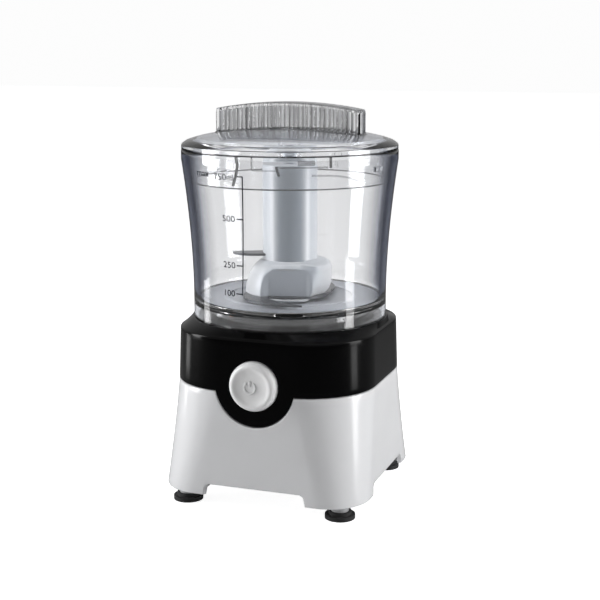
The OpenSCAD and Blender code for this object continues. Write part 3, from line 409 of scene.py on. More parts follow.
black_collar = surface("black_collar", collar_rows, closed=(True, True), sharp=50)

# The button's hole is bored through the front wall
bore_turn = np.linspace(0, 2 * math.pi, 97)[:-1]
bore = surface("bore", [[(r * math.cos(a), y, button_z + r * math.sin(a)) for a in bore_turn]
                        for r, y in ((0, -70), (button_hole_r, -70), (button_hole_r, -52), (0, -52))],
               weld=True)
cut = black_collar.modifiers.new("button_hole", "BOOLEAN")
cut.object, cut.operation, cut.solver = bore, "DIFFERENCE", "EXACT"
bpy.context.view_layer.update()
bored = bpy.data.meshes.new_from_object(black_collar.evaluated_get(bpy.context.evaluated_depsgraph_get()))
black_collar.modifiers.clear()
black_collar.data = bored
bpy.data.objects.remove(bore)
finish_mesh(black_collar.data, 35, False)
# The low index holds reflections down: ABS itself bends light by about 1.5
black_gloss = moulded("black_gloss", (0.0008, 0.0008, 0.001), 0.16, relief=0.000004, cloud=0.1,
                      IOR=1.22)
black_collar.data.materials.clear()
black_collar.data.materials.append(black_gloss.material)
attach(black_collar, "base")
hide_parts("upper_housing")

# ----------------------------------------------------------------------------------------------
# Push button
# A silver-grey ABS cap with a soft rim and a dished face. The on and off sign is embossed in
# the middle of the dish: most of a ring, open above round a short bar.


def turned_about(axis_turns, profile, centre=(0, 0, 0), toward=None):
    """A profile of (radius, height) rows turned about the Z axis, or about an axis that points
    out of the front where toward is set."""
    profile = np.asarray(profile, float)
    r, h = profile[:, 0][:, None], profile[:, 1][:, None]
    x, y, z = r * np.cos(axis_turns), r * np.sin(axis_turns), h + 0 * axis_turns
    points = np.stack([x, y, z] if toward is None else [x, -z, y], -1)
    return points + np.asarray(centre, float)


def curve(points, count):
    """Points spread evenly along a Catmull-Rom spline through the given ones."""
    p = np.asarray(points, float)
    p = np.vstack([2 * p[0] - p[1], p, 2 * p[-1] - p[-2]])
    t = np.linspace(0, len(p) - 3 - 1e-9, count)
    k, u = t.astype(int), (t % 1)[:, None]
    a, b, c, d = p[k], p[k + 1], p[k + 2], p[k + 3]
    return 0.5 * (2 * b + (c - a) * u + (2 * a - 5 * b + 4 * c - d) * u ** 2
                  + (3 * b - a - 3 * c + d) * u ** 3)


around = np.linspace(0, 2 * math.pi, 129)[:-1]
front_y, cap_r, stem_r = 60.06, 14.3, 12.3
cap = [(0, 52.6), (stem_r - 0.3, 52.6), (stem_r, 52.9), (stem_r, 55.3), (cap_r, 55.3)]
cap += curve([(cap_r, 56.0), (cap_r, front_y + 1.2), (14.1, front_y + 2.4), (13.5, front_y + 3.6),
              (12.6, front_y + 4.5), (11.6, front_y + 4.8), (10.7, front_y + 4.65), (9.8, front_y + 4.3),
              (8.6, front_y + 3.9), (6.5, front_y + 3.55), (3, front_y + 3.35),
              (0, front_y + 3.3)], 60).tolist()
button_cap = surface("button_cap", turned_about(around, cap, (0, 0, button_z), "front"), weld=True, sharp=50)
silver = moulded("silver_plastic", (0.92, 0.922, 0.925), 0.3, relief=0.000006, cloud=0.02)
button_cap.data.materials.append(silver.material)


def raised(name, spine, width, height, base):
    """A rounded ridge on the button's face: a flat-topped section carried along a spine of
    (x, z) points, with its ends drawn in to close it."""
    spine = np.asarray(spine, float)
    along = np.gradient(spine, axis=0)
    along /= np.linalg.norm(along, axis=1)[:, None]
    beside = np.stack([-along[:, 1], along[:, 0]], -1)
    section = np.array([(-1, -0.4), (-1, 0.5), (-0.7, 0.9), (0, 1), (0.7, 0.9), (1, 0.5), (1, -0.4)])
    taper = np.ones(len(spine))
    taper[[0, -1]] = 0.02
    taper[[1, -2]] = 0.75
    aside = (section[:, 0] * width / 2)[None, :, None] * taper[:, None, None]
    flat = spine[:, None, :] + beside[:, None, :] * aside
    out = base + section[:, 1][None, :] * height * np.where(taper < 0.5, 0.2, 1)[:, None]
    return surface(name, np.stack([flat[..., 0], -out, flat[..., 1]], -1), sharp=60)


open_half, sign_x, sign_r = math.radians(32), -1.1, 3.3
sign_width, sign_height, sign_base = 1.25, 0.5, front_y + 3.4
arc_turn = math.pi / 2 + np.linspace(open_half, 2 * math.pi - open_half, 60)
arc = np.stack([sign_r * np.cos(arc_turn) + sign_x, button_z - 0.2 + sign_r * np.sin(arc_turn)], -1)
bar = np.stack([np.full(9, sign_x), button_z + np.linspace(0.2, 4.0, 9)], -1)
sign_ring = raised("sign_ring", arc, sign_width, sign_height, sign_base)
sign_bar = raised("sign_bar", bar, sign_width, sign_height, sign_base)
sign_finish = moulded("silver_plastic_sign", (0.78, 0.785, 0.79), 0.4, relief=0.000006, cloud=0.02)
for sign in (sign_ring, sign_bar):
    sign.data.materials.append(sign_finish.material)
for piece in (button_cap, sign_ring, sign_bar):
    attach(piece, "button")
    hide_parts("push_button")

# ----------------------------------------------------------------------------------------------
# Bowl
# Clear SAN, one thin moulding: a flaring wall, a floor with a centre post over the drive
# spindle, and underneath the skirt it stands on and the ring whose lugs lock in the well.

rim_z, bowl_wall, floor_z, under_z = 205.7, 2.2, 117.4, 115.2
flare_low, flare_top, bowl_flare = 121.0, 200.0, 6.3
lock_r, lock_low, post_r, post_z = 49.2, 99.5, 11.0, 178.0


def bowl_reach(z):
    """Outer radius of the bowl: straight at first, then it grows with the 1.8th power of the
    height up to the lid's rim."""
    share = np.clip((np.asarray(z, float) - flare_low) / (flare_top - flare_low), 0, 1)
    return bowl_r + bowl_flare * share ** 1.8


def clear_plastic(name, *edges, body=1.0, upright=None, stripes=None, bend=1.5):
    """Clear plastic: painted shade makes it greyer and bluer where a wall is seen edge on. It is
    faintly wavy like any moulding, and transparent to the lamps so that what is inside stays
    lit. Each dark line is given as a height and a half width in millimetres: painted shade that
    stands in for the light that a rim or corner keeps in. body scales the whole tone; the darker
    copies that it gives the lid's ribs, ledges and bead are painted shade. Above the height
    upright, painted shade takes the wall to near black where it turns away; stripes is the pitch
    of painted dark stripes, one to each upright rib along X; bend is the index that the light is
    bent by."""
    finish = Finish(name, Transmission_Weight=1.0, IOR=bend)
    place = finish.place()
    height = finish.node("SeparateXYZ", 2, None, {0: place}) * 1000
    edge_on = finish.node("LayerWeight", "Facing", sockets={"Blend": 0.5})
    # Painted shade: the plastic turns greyer and bluer as the wall turns edge on
    painted_edge_shade = finish.ramp(edge_on, (0.0, (0.97, 0.973, 0.98)), (0.5, (0.90, 0.905, 0.92)),
                        (0.75, (0.70, 0.73, 0.79)), (1.0, (0.36, 0.40, 0.52)))
    if upright:
        # Painted shade: above the height upright the wall goes near black where it turns away
        wall = finish.ramp(edge_on, (0.0, (0.91, 0.912, 0.92)), (0.36, (0.84, 0.845, 0.855)),
                           (0.46, (0.60, 0.605, 0.62)), (0.56, (0.32, 0.335, 0.38)),
                           (0.64, (0.022, 0.026, 0.045)), (1.0, (0.006, 0.008, 0.018)))
        above = finish.node("MapRange", sockets={
            "Value": height, "From Min": upright, "From Max": upright + 3})
        painted_edge_shade = finish.node("Mix", 2, {"data_type": "RGBA"}, {0: above, 6: painted_edge_shade, 7: wall})
    # A faint random tone times body; the low body values of the lid's ribs, ledges and bead are painted shade
    level = finish.noise(18) * 0.04 + (0.97 * body)
    # Painted shade: a dark line at each given height, where a rim or corner keeps the light in
    for middle, half_width in edges:
        level = level * finish.ramp(abs(height - middle) / (2 * half_width), (0.3, (0.015, 0.018, 0.06)),
                                    (0.7, (1.0, 1.0, 1.0)), smooth=True)
    if stripes:
        # Painted shade: dark stripes, one to each rib, and irregular dark streaks that vary along X
        along = (finish.node("SeparateXYZ", 0, None, {0: place}) * (2000 * math.pi / stripes)).sine()
        level = level * finish.ramp(along * 0.5 + 0.5, (0.06, (0.36, 0.40, 0.50)), (0.30, (0.95, 0.975, 1.0)))
        drawn = finish.node("VectorMath", 0, {"operation": "MULTIPLY"}, {0: place, 1: (640, 40, 14)})
        level = level * finish.ramp(finish.noise(1.0, 3.0, drawn), (0.37, (0.38, 0.43, 0.55)),
                                    (0.52, (0.98, 0.99, 1.0)))
    finish.plug(finish.shader.inputs["Base Color"], finish.node("Mix", 2, {
        "data_type": "RGBA", "blend_type": "MULTIPLY"}, {0: 1.0, 6: painted_edge_shade, 7: level}))
    finish.plug(finish.shader.inputs["Roughness"], finish.noise(90, 2.0) * 0.02 + 0.01)
    finish.bump(finish.noise(22, 1.0), 0.00006)
    lamps_pass = finish.node("BsdfTransparent", sockets={"Color": (0.90, 0.91, 0.93, 1)})
    both = finish.node("MixShader", sockets={0: finish.node("LightPath", "Is Shadow Ray"),
                                             1: Value(finish, finish.shader.outputs[0]), 2: lamps_pass})
    finish.plug(finish.tree.nodes["Material Output"].inputs["Surface"], both)
    return finish


# Painted dark lines at the floor's edge and at the seat, and painted near-black shade on the upright wall
# where it turns away
clear = clear_plastic("clear_bowl", (117.3, 0.8), (seat_z + 0.3, 0.4), upright=119.0)
# The lugs bend light less than the wall, so that they show only faintly through it
clear_lug = clear_plastic("clear_lug", body=1.03, bend=1.1)

full = np.linspace(0, 2 * math.pi, 241)[:-1]
wall_z = np.concatenate([[110, 114, 118], np.linspace(flare_low, flare_top, 34), [203]])
bowl_in = bowl_r - bowl_wall
bowl_profile = [(post_r - 2.2, under_z), (lock_r - 2.7, under_z), (lock_r - 2.4, 114.9), (lock_r - 2.4, 99.8),
                (lock_r - 2.1, lock_low), (lock_r - 0.3, lock_low), (lock_r, 99.8), (lock_r, 114.9),
                (lock_r + 0.3, under_z), (bowl_in - 0.6, under_z), (bowl_in, 114.6), (bowl_in, seat_z + 0.3),
                (bowl_in + 0.3, seat_z), (bowl_r - 0.3, seat_z), (bowl_r, seat_z + 0.3)]
bowl_profile += np.stack([bowl_reach(wall_z), wall_z], -1).tolist()
bowl_profile += [(63.8, rim_z - 0.5), (63.65, rim_z - 0.15), (63.3, rim_z), (62.1, rim_z),
                 (61.75, rim_z - 0.15), (61.6, rim_z - 0.5)]
bowl_profile += np.stack([bowl_reach(wall_z[:3:-1]) - bowl_wall, wall_z[:3:-1]], -1).tolist()
bowl_profile += [(55.2, 119.6), (54.9, 118.6), (54.2, 117.8), (53.2, floor_z), (39.5, floor_z), (39.2, 117.6),
                 (39.0, 118.2), (37.4, 118.2), (37.2, 117.6), (36.9, floor_z), (post_r + 1.2, floor_z),
                 (post_r + 0.3, 117.8), (post_r, 118.6), (post_r, post_z - 0.6), (post_r - 0.5, post_z),
                 (post_r - 1.7, post_z), (post_r - 2.2, post_z - 0.6)]
bowl = surface("bowl_clear", turned_about(full, bowl_profile), closed=(True, True), sharp=32)


def curved_bar(name, inner, outer, low, top, start, end, pieces=12):
    """A bar that follows the wall: four corners carried round from one angle (degrees, from +X)
    to the other, with the ends closed. low and top may be pairs, for a bar that climbs."""
    share = np.linspace(0, 1, pieces + 1)
    angle = np.radians(start + (end - start) * share)
    low = np.interp(share, (0, 1), low if isinstance(low, tuple) else (low, low))
    top = np.interp(share, (0, 1), top if isinstance(top, tuple) else (top, top))
    corner = [(inner, low), (outer, low), (outer, top), (inner, top)]
    rows = np.stack([np.stack([r * np.cos(angle), r * np.sin(angle), z], -1) for r, z in corner], 1)
    ends = [rows[0].mean(0, keepdims=True).repeat(4, 0), rows[-1].mean(0, keepdims=True).repeat(4, 0)]
    return surface(name, np.concatenate([[ends[0]], rows, [ends[1]]]), weld=True, sharp=30)


# Four lugs low on the ring lock in the well, and four inside the rim hold the lid's ribs
lugs = [curved_bar(f"bowl_lug_{k}", lock_r - 0.5, lock_r + 3.2, 99.9, 103.0, 43.5 + 90 * k, 56.5 + 90 * k)
        for k in range(4)]
lugs += [curved_bar(f"rim_lug_{k}", 59.95, 62.2, 196.0, 198.6, 90 * k - 20, 90 * k - 14, 5) for k in range(4)]
for piece in [bowl] + lugs:
    piece.data.materials.append((clear if piece is bowl else clear_lug).material)
    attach(piece, "bowl")
    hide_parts("bowl")

# The floor's top is spark-eroded, so it is misty: a thin layer that follows its ring and rounds
mist_depth = 0.12
mist = [(12.4, 117.5), (36.5, 117.5), (37.0, 117.8), (37.3, 118.3), (39.1, 118.3), (39.4, 117.8),
        (39.8, 117.5), (53.0, 117.5), (54.0, 117.9)]
floor_mist = surface("floor_mist", turned_about(full, mist + [(r, z + mist_depth) for r, z in mist[::-1]]),
                     closed=(True, True), sharp=32)
misty = moulded("clear_misty", (0.80, 0.82, 0.86), 0.4, relief=0.00002, cloud=0.04,
                Transmission_Weight=0.72, IOR=1.5)
floor_mist.data.materials.append(misty.material)
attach(floor_mist, "bowl")

# ----------------------------------------------------------------------------------------------
# Printed scale
# Dark ink screened on the outside of the bowl: an upright line with a tick at each mark, and
# the marks in millilitres to its left.

ink = moulded("scale_ink", (0.015, 0.017, 0.025), 0.6, cloud=0.15, Specular_IOR_Level=0.05)
print_r, print_lift = 60.5, 0.14
line_top, line_foot = (-4.3, 195.0), (-7.5, 127.6)


def on_bowl(flat, turn, height):
    """Flat (x, y) points laid on the wall: x runs round the bowl from turn (degrees from the
    front, to the right) as on a circle of radius print_r, y up from height, and the ink lies
    print_lift outside the surface."""
    z = height + flat[:, 1]
    reach = bowl_reach(z) + print_lift
    angle = math.radians(turn - 90) + flat[:, 0] / print_r
    return np.stack([reach * np.cos(angle), reach * np.sin(angle), z], -1)


def lettered(name, words, size, right_turn, height, stretch=1.0, weight=0.006):
    """Words whose right end stands at right_turn and whose middle stands at height."""
    letters = bpy.data.curves.new(name, "FONT")
    letters.body, letters.resolution_u = words, 4
    letters.offset = weight
    holder = bpy.data.objects.new(name, letters)
    bpy.context.scene.collection.objects.link(holder)
    bpy.context.view_layer.update()
    mesh = bpy.data.meshes.new_from_object(holder.evaluated_get(bpy.context.evaluated_depsgraph_get()))
    bpy.data.objects.remove(holder)
    flat = np.zeros(len(mesh.vertices) * 3)
    mesh.vertices.foreach_get("co", flat)
    flat = flat.reshape(-1, 3)[:, :2] * size * np.array([stretch, 1])
    flat[:, 0] -= flat[:, 0].max()
    flat[:, 1] -= size * 0.34
    return ink_piece(name, mesh, on_bowl(flat, right_turn, height))


def ink_piece(name, mesh, points):
    """The mesh takes the given points and becomes an inked piece that rides on the bowl."""
    mesh.vertices.foreach_set("co", (points * 0.001).ravel())
    mesh.name = name
    mesh.materials.clear()
    mesh.materials.append(ink.material)
    piece = bpy.data.objects.new(name, mesh)
    bpy.context.scene.collection.objects.link(piece)
    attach(piece, "bowl")
    return piece


def stroke(name, start, end, width, steps=24):
    """A straight inked line between two (turn, height) points, cut into short flat lengths."""
    share = np.linspace(0, 1, steps + 1)[:, None]
    last = np.array([math.radians(end[0] - start[0]) * print_r, end[1]])
    path = np.array([0.0, start[1]]) * (1 - share) + last * share
    along = path[-1] - path[0]
    beside = np.array([-along[1], along[0]]) / np.linalg.norm(along) * width / 2
    flat = np.concatenate([path + beside, path - beside])
    i = np.arange(steps)
    faces = np.stack([i, i + steps + 1, i + steps + 2, i + 1], -1)
    mesh = bpy.data.meshes.new(name)
    mesh.from_pydata(np.zeros((len(flat), 3)), [], faces.tolist())
    return ink_piece(name, mesh, on_bowl(flat, start[0], 0.0))


stroke("scale_line", line_top, line_foot, 0.75)
for mark, height in (("750", 194.8), ("500", 170.9), ("250", 144.5), ("100", 128.3)):
    line_turn = np.interp(height, (line_foot[1], line_top[1]), (line_foot[0], line_top[0]))
    stroke(f"scale_tick_{mark}", (line_turn - 4.0, height), (line_turn, height), 0.7, 4)
    if mark != "750":
        lettered(f"scale_{mark}", mark, 5.0, line_turn - 4.9, height, 1.2)
lettered("scale_max", "max", 5.3, -25.0, 195.4, 1.25, 0.012)
lettered("scale_750", "750", 5.1, -13.8, 194.2, 1.15)
lettered("scale_ml", "ml", 5.1, -9.6, 194.2, 0.9)

# ----------------------------------------------------------------------------------------------
# Lid
# Clear SAN like the bowl: a shallow cone with a flange on the rim, a skirt inside it with the
# bayonet's ribs, a boss that steadies the blade unit's pin, and a hollow ribbed grip on top.

apex_z, skirt_r, skirt_low, lid_wall, flange_r = 217.1, 59.3, 18.2, 2.0, 63.6
grip_half, groove_y, grip_y, grip_z, crown_r = 44.5, 7.2, 8.0, 232.7, 242.7
ribbed_half, rib_count, rib_pitch = 39.15, 29, 2.7
cone_r = np.linspace(0, 60.9, 60)
cone = np.stack([cone_r, apex_z - (cone_r / 30) ** 2 - 2.17 * (cone_r / 60) ** 6], -1)
under = (cone - [0, 2.2])[(cone_r < 55) & (cone_r > 7.6)][::-1]
cone = np.concatenate([cone, [(62.7, 209.4), (63.3, 208.9), (63.58, 208.4), (flange_r, 207.9)]])
lid_profile = cone.tolist()
lid_profile += [(flange_r, rim_z + 0.3), (63.3, rim_z), (skirt_r + 0.4, rim_z), (skirt_r, rim_z - 0.4),
                (skirt_r, rim_z - 17.9), (skirt_r - 0.3, rim_z - skirt_low),
                (skirt_r - 1.7, rim_z - skirt_low), (skirt_r - 2.0, rim_z - 17.9), (skirt_r - 2.0, 208.9)]
lid_profile += under.tolist()
lid_profile += [(6.8, 214.0), (6.8, 199.0), (6.5, 198.7), (4.65, 198.7), (4.35, 199.0), (4.35, 205.2),
                (0, 205.2)]
lid = surface("lid_clear", turned_about(full, lid_profile), weld=True, sharp=32)


def cone_height(x, y):
    """Height of the lid's cone above a point, read off its profile at that distance."""
    return np.interp(np.hypot(x, y), cone[:, 0], cone[:, 1])


def grip_top(x, drop=0.0):
    """Height of the grip's top: a wide arc whose last few millimetres turn down at the ends."""
    ends = np.clip((np.abs(x) - grip_half + 1.5) / 1.5, 0, 1)
    return grip_z - drop - crown_r + np.sqrt(crown_r ** 2 - x ** 2) - 0.9 * ends ** 2.5


# Rounded ribs along both faces of the grip, ten points to a rib, with a plain stretch at each end
rib_x = np.linspace(-ribbed_half, ribbed_half, rib_count * 10 + 1)
rib_y = groove_y + (grip_y - groove_y) * np.sqrt(np.abs(np.sin((rib_x + ribbed_half) / rib_pitch * math.pi)))
face_x = np.concatenate([np.linspace(-grip_half, -39.4, 9), rib_x, np.linspace(39.4, grip_half, 9)])
face_y = np.concatenate([np.full(9, groove_y), rib_y, np.full(9, groove_y)])
rounded = np.clip((np.abs(face_x) - grip_half + 1.4) / 1.4, 0, 1)
face_y = face_y - 1.6 * (1 - np.sqrt(np.maximum(1 - rounded ** 2, 0)))
grip_x = np.concatenate([face_x, face_x[::-1]])
grip_side = np.concatenate([-face_y, face_y[::-1]])
inner_x = np.clip(grip_x, 2 - grip_half, grip_half - 2)
inner_side = np.sign(grip_side) * np.minimum(np.abs(grip_side), groove_y) - np.sign(grip_side) * lid_wall


def grip_row(x, y, z):
    """A row of points from plan x, y and a height that may be one number for all of them."""
    return np.stack([x, y, z + 0 * x], -1)


grip_rows = [grip_row(inner_x, inner_side * s, grip_top(inner_x, lid_wall)) for s in (0, 0.5, 1)]
grip_rows += [grip_row(inner_x, inner_side, cone_height(inner_x, inner_side) - 0.5)]
base_height = cone_height(grip_x, grip_side) - 0.5
rise = grip_top(grip_x) - 0.9 - base_height
grip_rows += [grip_row(grip_x, grip_side, base_height + rise * s) for s in np.linspace(0, 1, 9)]
grip_rows += [grip_row(grip_x, grip_side * (1 - 0.03), grip_top(grip_x) - 0.35),
              grip_row(grip_x, grip_side * (1 - 0.10), grip_top(grip_x) - 0.05)]
grip_rows += [grip_row(grip_x, grip_side * s, grip_top(grip_x)) for s in (0.75, 0.4, 0)]
grip = surface("lid_grip", grip_rows, weld=True, sharp=42)

# A bead stiffens the foot of the grip
bead_rows = [grip_row(grip_x + np.sign(grip_x) * out, grip_side + np.sign(grip_side) * out, base_height + up)
             for out, up in ((-0.3, 1.1), (0.15, 1.05), (0.5, 0.75), (0.55, 0.3), (-0.3, 0.2))]
bead = surface("lid_grip_bead", bead_rows, closed=(True, True), sharp=60)


def skirt_bar(name, width, quarter, points):
    """A rib raised on the skirt that runs through (turn, height) points: a square section set
    across the path and carried along it, with the ends closed."""
    turn, z = np.array(points, float).T
    path = np.stack([np.radians(turn) * skirt_r, z], -1)
    along = np.gradient(path, axis=0)
    beside = np.stack([-along[:, 1], along[:, 0]], -1) / np.linalg.norm(along, axis=1)[:, None] * width / 2
    corners = [(path + beside * side, skirt_r + out)
               for side, out in ((-1, -0.4), (1, -0.4), (1, 0.62), (-1, 0.62))]
    angle = [flat[:, 0] / skirt_r + math.radians(quarter) for flat, r in corners]
    rows = np.stack([np.stack([r * np.cos(a), r * np.sin(a), flat[:, 1]], -1)
                     for a, (flat, r) in zip(angle, corners)], 1)
    ends = [rows[k].mean(0, keepdims=True).repeat(4, 0)[None] for k in (0, -1)]
    return surface(name, np.concatenate([ends[0], rows, ends[1]]), weld=True, sharp=30)


# Each shape on the skirt: its width, and its path in degrees round the lid and height
skirt_shapes = {
    "stop": (1.3, [(-9.8, 205.2), (-9.2, 203.2), (-8.5, 201.2), (-8.9, 198), (-9.9, 194), (-11.4, 189.2)]),
    "hook": (1.3, [(13.0, 200.6), (13.1, 199.4), (13.6, 197.6), (14.3, 195.4)]),
    "tab": (1.2, [(41.7, 205.6), (41.7, 202.5), (41.7, 199.6)]),
    "ledge": (0.9, [(13.4, 200.2)] + [(t, 200.0) for t in range(16, 42, 3)]),
    "pad": (2.4, [(t, 202.2) for t in (24, 27, 30, 33)]),
    "arrow": (0.7, [(-0.4, 204.2), (-0.4, 201), (-0.4, 198.5)]),
    "step": (0.6, [(t, 198.3) for t in (0, 4, 8, 12.7)]),
    "ramp": (1.0, [(31.5, 195.7), (38, 195.5), (45.5, 195.1), (50, 194.3), (55.2, 193.0), (59, 191.7),
                   (63.1, 190.2)])}
# Painted dark lines on the lid at the rim, at the top of the flange and at the foot of the skirt, and painted
# dark stripes on the grip's ribs
clear_lid = clear_plastic("clear_lid", (rim_z + 0.1, 0.25), (208.8, 0.25), (rim_z - 18.0, 0.45), body=0.97)
clear_grip = clear_plastic("clear_grip", stripes=rib_pitch)
# Darker copies of the lid's same clear plastic, as painted shade
clear_rib_painted_dark = clear_plastic("clear_rib_painted_dark", body=0.16)
clear_bead_painted_dark = clear_plastic("clear_bead_painted_dark", body=0.45)
clear_ledge_painted_dark = clear_plastic("clear_ledge_painted_dark", body=0.6)
# Painted shade only on the front quarter: its stop, hook and tab take the darkest copy, its other shapes the
# lighter one, and the other quarters' stops keep the lid's own finish
ribs = []
for k in range(4):
    for shape, (width, points) in list(skirt_shapes.items())[:8 if k == 0 else 1]:
        dark = clear_rib_painted_dark if shape in ("stop", "hook", "tab") else clear_ledge_painted_dark
        rib = skirt_bar(f"lid_{shape}_{k}", width, 90 * k - 90, points)
        ribs.append((rib, dark if k == 0 else clear_lid))
for piece, finish in [(lid, clear_lid), (grip, clear_grip), (bead, clear_bead_painted_dark)] + ribs:
    piece.data.materials.append(finish.material)
    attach(piece, "lid")
    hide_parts("lid")

# ----------------------------------------------------------------------------------------------
# Blade unit
# A frosted polypropylene hub turns on the bowl's post. Two blades of ground and brushed
# stainless sheet are moulded into it, a short one a third of the way up and a sickle pair at
# its foot.

hub_r, hub_bore, hub_top, hub_roof, foot_low = 16.2, 12.2, 196.7, 181.0, 118.8
right_turn, panel_turn, panel_reach = math.radians(19.5), math.radians(-75), 19.2
pin_r, pin_rise = 4, 5.5


def hub_reach(angle, z):
    """Radius of the hub: a tube above a bell. Toward right_turn the bell gives way to a rounded
    wing, and toward panel_turn a plane cuts it flat below a narrow rim."""
    bell = np.interp(z, (foot_low, 121.5, 125.5, 129.5, 133.5, 137, 139.5, 140.5),
                     (26.4, 26.6, 26.1, 25, 23.3, 20.9, 18.2, hub_r))
    wing = np.interp(z, (foot_low, 120.5, 123, 126.5, 130, 136, 138.5, 140, 140.8),
                     (18.5, 21.5, 23.6, 24.7, 25, 25, 24, 21.5, hub_r))
    side = np.clip((np.cos(angle - right_turn) - 0.30) / 0.40, 0, 1)
    side = side * side * (3 - 2 * side)
    reach = bell + (wing - bell) * side
    off = np.abs((angle - panel_turn + math.pi) % (2 * math.pi) - math.pi)
    into = np.clip((math.radians(36) - off) / math.radians(6), 0, 1) * np.clip((137.4 - z) / 1.0, 0, 1)
    into = into * np.clip((z - 119.8) / 0.8, 0, 1)
    return reach + (np.minimum(reach, panel_reach / np.maximum(np.cos(off), 0.5)) - reach) * into


tube_z = np.concatenate([np.linspace(foot_low, 143.2, 60), np.linspace(146, hub_top - 0.8, 12)])
hub_inside = [(0, hub_roof), (hub_bore, hub_roof), (hub_bore, 140.0), (hub_bore, foot_low + 0.4),
              (hub_bore + 0.4, foot_low)]
hub_pin = [(hub_r - 0.25, hub_top - 0.2), (hub_r - 0.8, hub_top), (pin_r + 0.3, hub_top),
           (pin_r, hub_top + 0.3), (pin_r, hub_top + 5), (pin_r - 0.5, hub_top + pin_rise),
           (0, hub_top + pin_rise)]
hub_outside = [(hub_reach(full, z), z) for z in tube_z]
hub_rows = [np.stack([r * np.cos(full), r * np.sin(full), z + 0 * full], -1)
            for r, z in hub_inside + hub_outside + hub_pin]
hub = surface("hub_shell", hub_rows, weld=True, sharp=38)
frosted = moulded("frosted_plastic", (0.70, 0.73, 0.77), 0.34, relief=0.00001, cloud=0.02,
                  Transmission_Weight=0.12, IOR=1.46)
# Painted shade and a painted highlight: the tone follows how far the surface turns away, dark in the middle
# of the tube and the bell and with a bright band near the tube's edges, so it moves over the hub with the
# view
turned_away = frosted.node("LayerWeight", "Facing", sockets={"Blend": 0.5})
tube_painted_shade = frosted.ramp(turned_away, (0.0, (0.22, 0.245, 0.27)), (0.08, (0.26, 0.285, 0.31)),
                         (0.15, (0.38, 0.40, 0.42)), (0.24, (0.66, 0.67, 0.68)), (0.36, (0.48, 0.50, 0.52)),
                         (0.8, (0.52, 0.54, 0.56)))
bell_painted_shade = frosted.ramp(turned_away, (0.0, (0.36, 0.385, 0.42)), (0.2, (0.46, 0.485, 0.51)),
                         (0.45, (0.49, 0.50, 0.51)), (0.8, (0.52, 0.525, 0.53)))
hub_height = frosted.node("SeparateXYZ", 2, None, {0: frosted.place()})
on_tube = frosted.node("MapRange", sockets={"Value": hub_height, "From Min": 0.1375, "From Max": 0.1395})
frosted.plug(frosted.shader.inputs["Base Color"], frosted.node("Mix", 2, {"data_type": "RGBA"}, {
    0: on_tube, 6: bell_painted_shade, 7: tube_painted_shade}))
hub.data.materials.append(frosted.material)
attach(hub, "blades")
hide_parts("blade_hub")


def brushed(name, colour, roughness, along, relief=0.000012):
    """Brushed or drawn metal: noise stretched along the brushing gives both gloss and relief."""
    finish = Finish(name, Metallic=1.0)
    stretched = finish.node("VectorMath", 0, {"operation": "MULTIPLY"}, {0: finish.place(), 1: along})
    lines = finish.noise(1.0, 4.0, stretched)
    finish.plug(finish.shader.inputs["Roughness"], lines * 0.2 + (roughness - 0.1))
    finish.plug(finish.shader.inputs["Base Color"], finish.ramp(
        lines, (0.25, tuple(c * 0.86 for c in colour)), (0.75, colour)))
    finish.bump(lines, relief)
    return finish


steel = brushed("blade_steel", (0.13, 0.133, 0.14), 0.34, (300, 3000, 300))
dress(steel, "upper_blade", "lower_blade")

# ----------------------------------------------------------------------------------------------
# Drive, motor and switches
# Everything below the deck: the nylon spindle on the motor's shaft, the universal motor on its
# rubber mounts, the pulse switch behind the button, the bowl's interlock and the mains parts.


def turned_metal(name, colour, roughness):
    """Metal turned on a lathe: fine rings whose spacing wanders a little, with a faint stain."""
    finish = Finish(name, Metallic=1.0)
    place = finish.place()
    x = finish.node("SeparateXYZ", 0, None, {0: place})
    y = finish.node("SeparateXYZ", 1, None, {0: place})
    z = finish.node("SeparateXYZ", 2, None, {0: place})
    rings = ((x * x + y * y) ** 0.5 * 9000 + z * 14000 + finish.noise(200) * 3).sine()
    stain = finish.noise(45)
    finish.plug(finish.shader.inputs["Base Color"], finish.ramp(
        stain, (0.3, tuple(c * 0.8 for c in colour)), (0.7, colour)))
    finish.plug(finish.shader.inputs["Roughness"], stain * 0.2 + (roughness - 0.1))
    finish.bump(rings, 0.000008)
    return finish


def laminated(name, colour, pitch):
    """A stack of punched sheets: a sawtooth in height with the sheets' pitch, darker joints."""
    finish = Finish(name, Metallic=0.8)
    z = finish.node("SeparateXYZ", 2, None, {0: finish.place()})
    sheet = (z / pitch).sine()
    finish.plug(finish.shader.inputs["Base Color"], finish.ramp(
        sheet * 0.5 + 0.5, (0.0, tuple(c * 0.35 for c in colour)), (0.3, colour)))
    finish.plug(finish.shader.inputs["Roughness"], finish.noise(120) * 0.2 + 0.35)
    finish.bump(sheet, 0.00004)
    return finish


def wound(name, colour):
    """Enamelled wire wound in layers: close ridges round each coil, with a varnish on top."""
    finish = Finish(name, Metallic=0.75, Coat_Weight=0.6, Coat_Roughness=0.2)
    place = finish.place()
    z = finish.node("SeparateXYZ", 2, None, {0: place})
    strands = ((z * 9000) + finish.noise(90) * 2.5).sine()
    finish.plug(finish.shader.inputs["Base Color"], finish.ramp(
        strands * 0.5 + 0.5, (0.0, tuple(c * 0.45 for c in colour)), (0.8, colour)))
    finish.plug(finish.shader.inputs["Roughness"], finish.noise(150) * 0.2 + 0.25)
    finish.bump(strands, 0.00006)
    return finish


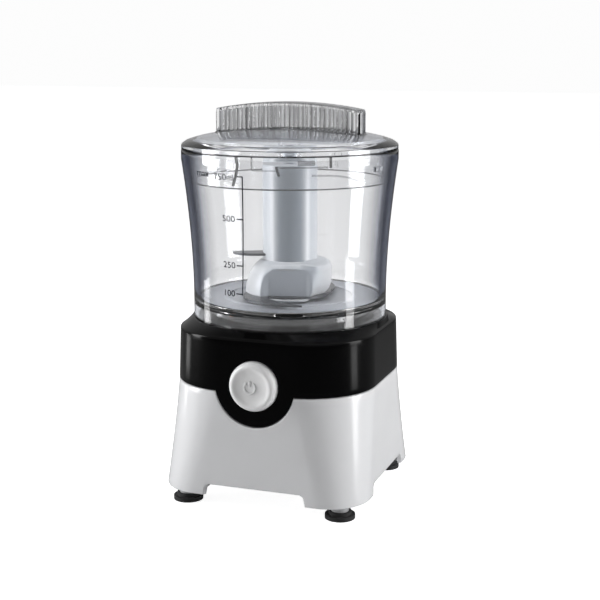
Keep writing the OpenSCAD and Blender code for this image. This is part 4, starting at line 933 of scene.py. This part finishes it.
dress(moulded("white_nylon", (0.78, 0.77, 0.73), 0.38), "drive_spindle")
dress(moulded("black_plastic", (0.028, 0.028, 0.03), 0.42, grain=1100, relief=0.00003), "pulse_switch",
      "interlock_switch", "switch_bracket", "cord_clamp")
dress(moulded("orange_plastic", (0.78, 0.22, 0.05), 0.36), "interlock_plunger")
dress(moulded("dark_plastic", (0.045, 0.05, 0.058), 0.4), "cooling_fan")
dress(moulded("yellow_plastic", (0.76, 0.58, 0.08), 0.3), "suppression_capacitor")
dress(moulded("wire_insulation", (0.03, 0.09, 0.42), 0.4), "wiring")
dress(moulded("carbon", (0.03, 0.03, 0.032), 0.55, grain=2600, relief=0.00005, cloud=0.2), "carbon_brushes")
dress(turned_metal("machined_steel", (0.60, 0.61, 0.62), 0.24), "motor_shaft")
dress(turned_metal("bronze", (0.58, 0.38, 0.17), 0.38), "upper_bearing", "lower_bearing")
dress(turned_metal("zinc_steel", (0.60, 0.62, 0.64), 0.34), "housing_screws", "base_screws", "motor_bolts",
      "motor_mount_screws")
spring_steel = turned_metal("spring_steel", (0.50, 0.51, 0.53), 0.3)
dress(spring_steel, "brush_springs")


def return_spring(node, axis, wire, coils):
    """A round wire carried along a helix that fills the CAD spring's box."""
    low, high = (np.array(corner) * 1000 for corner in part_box(node))
    middle, length = (low + high) / 2, (high - low)[axis]
    share = np.linspace(0, 1, coils * 28 + 1)[:, None]
    section = np.linspace(0, 2 * math.pi, 11)[None, :-1]
    reach = (high - low)[0] / 2 - wire + wire * np.cos(section)
    rise = wire + (length - 2 * wire) * share + wire * np.sin(section)
    x, y = reach * np.cos(2 * math.pi * coils * share), reach * np.sin(2 * math.pi * coils * share)
    rows = (np.stack([middle[0] + x, middle[1] + y, low[2] + rise], -1) if axis == 2
            else np.stack([middle[0] + x, high[1] - rise, middle[2] + y], -1))
    ends = [rows[k].mean(0, keepdims=True).repeat(10, 0)[None] for k in (0, -1)]
    spring = surface(f"{node}_wire", np.concatenate([ends[0], rows, ends[1]]), weld=True, sharp=60)
    spring.data.materials.append(spring_steel.material)
    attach(spring, "base")
    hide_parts(node)
    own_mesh(spring)


return_spring("button_spring", 1, 0.45, 5)
return_spring("interlock_spring", 2, 0.3, 6)
dress(brushed("brass_sheet", (0.72, 0.54, 0.22), 0.3, (300, 300, 2400)), "brush_holders")
dress(brushed("bracket_aluminium", (0.62, 0.63, 0.64), 0.42, (500, 500, 500), 0.00004), "motor_top_bracket",
      "motor_bottom_bracket")
dress(laminated("lamination_steel", (0.30, 0.31, 0.33), 0.00008), "stator_core", "armature_core")
copper = wound("copper_wire", (0.68, 0.30, 0.12))
dress(copper, "armature_windings", "field_coils", "commutator")
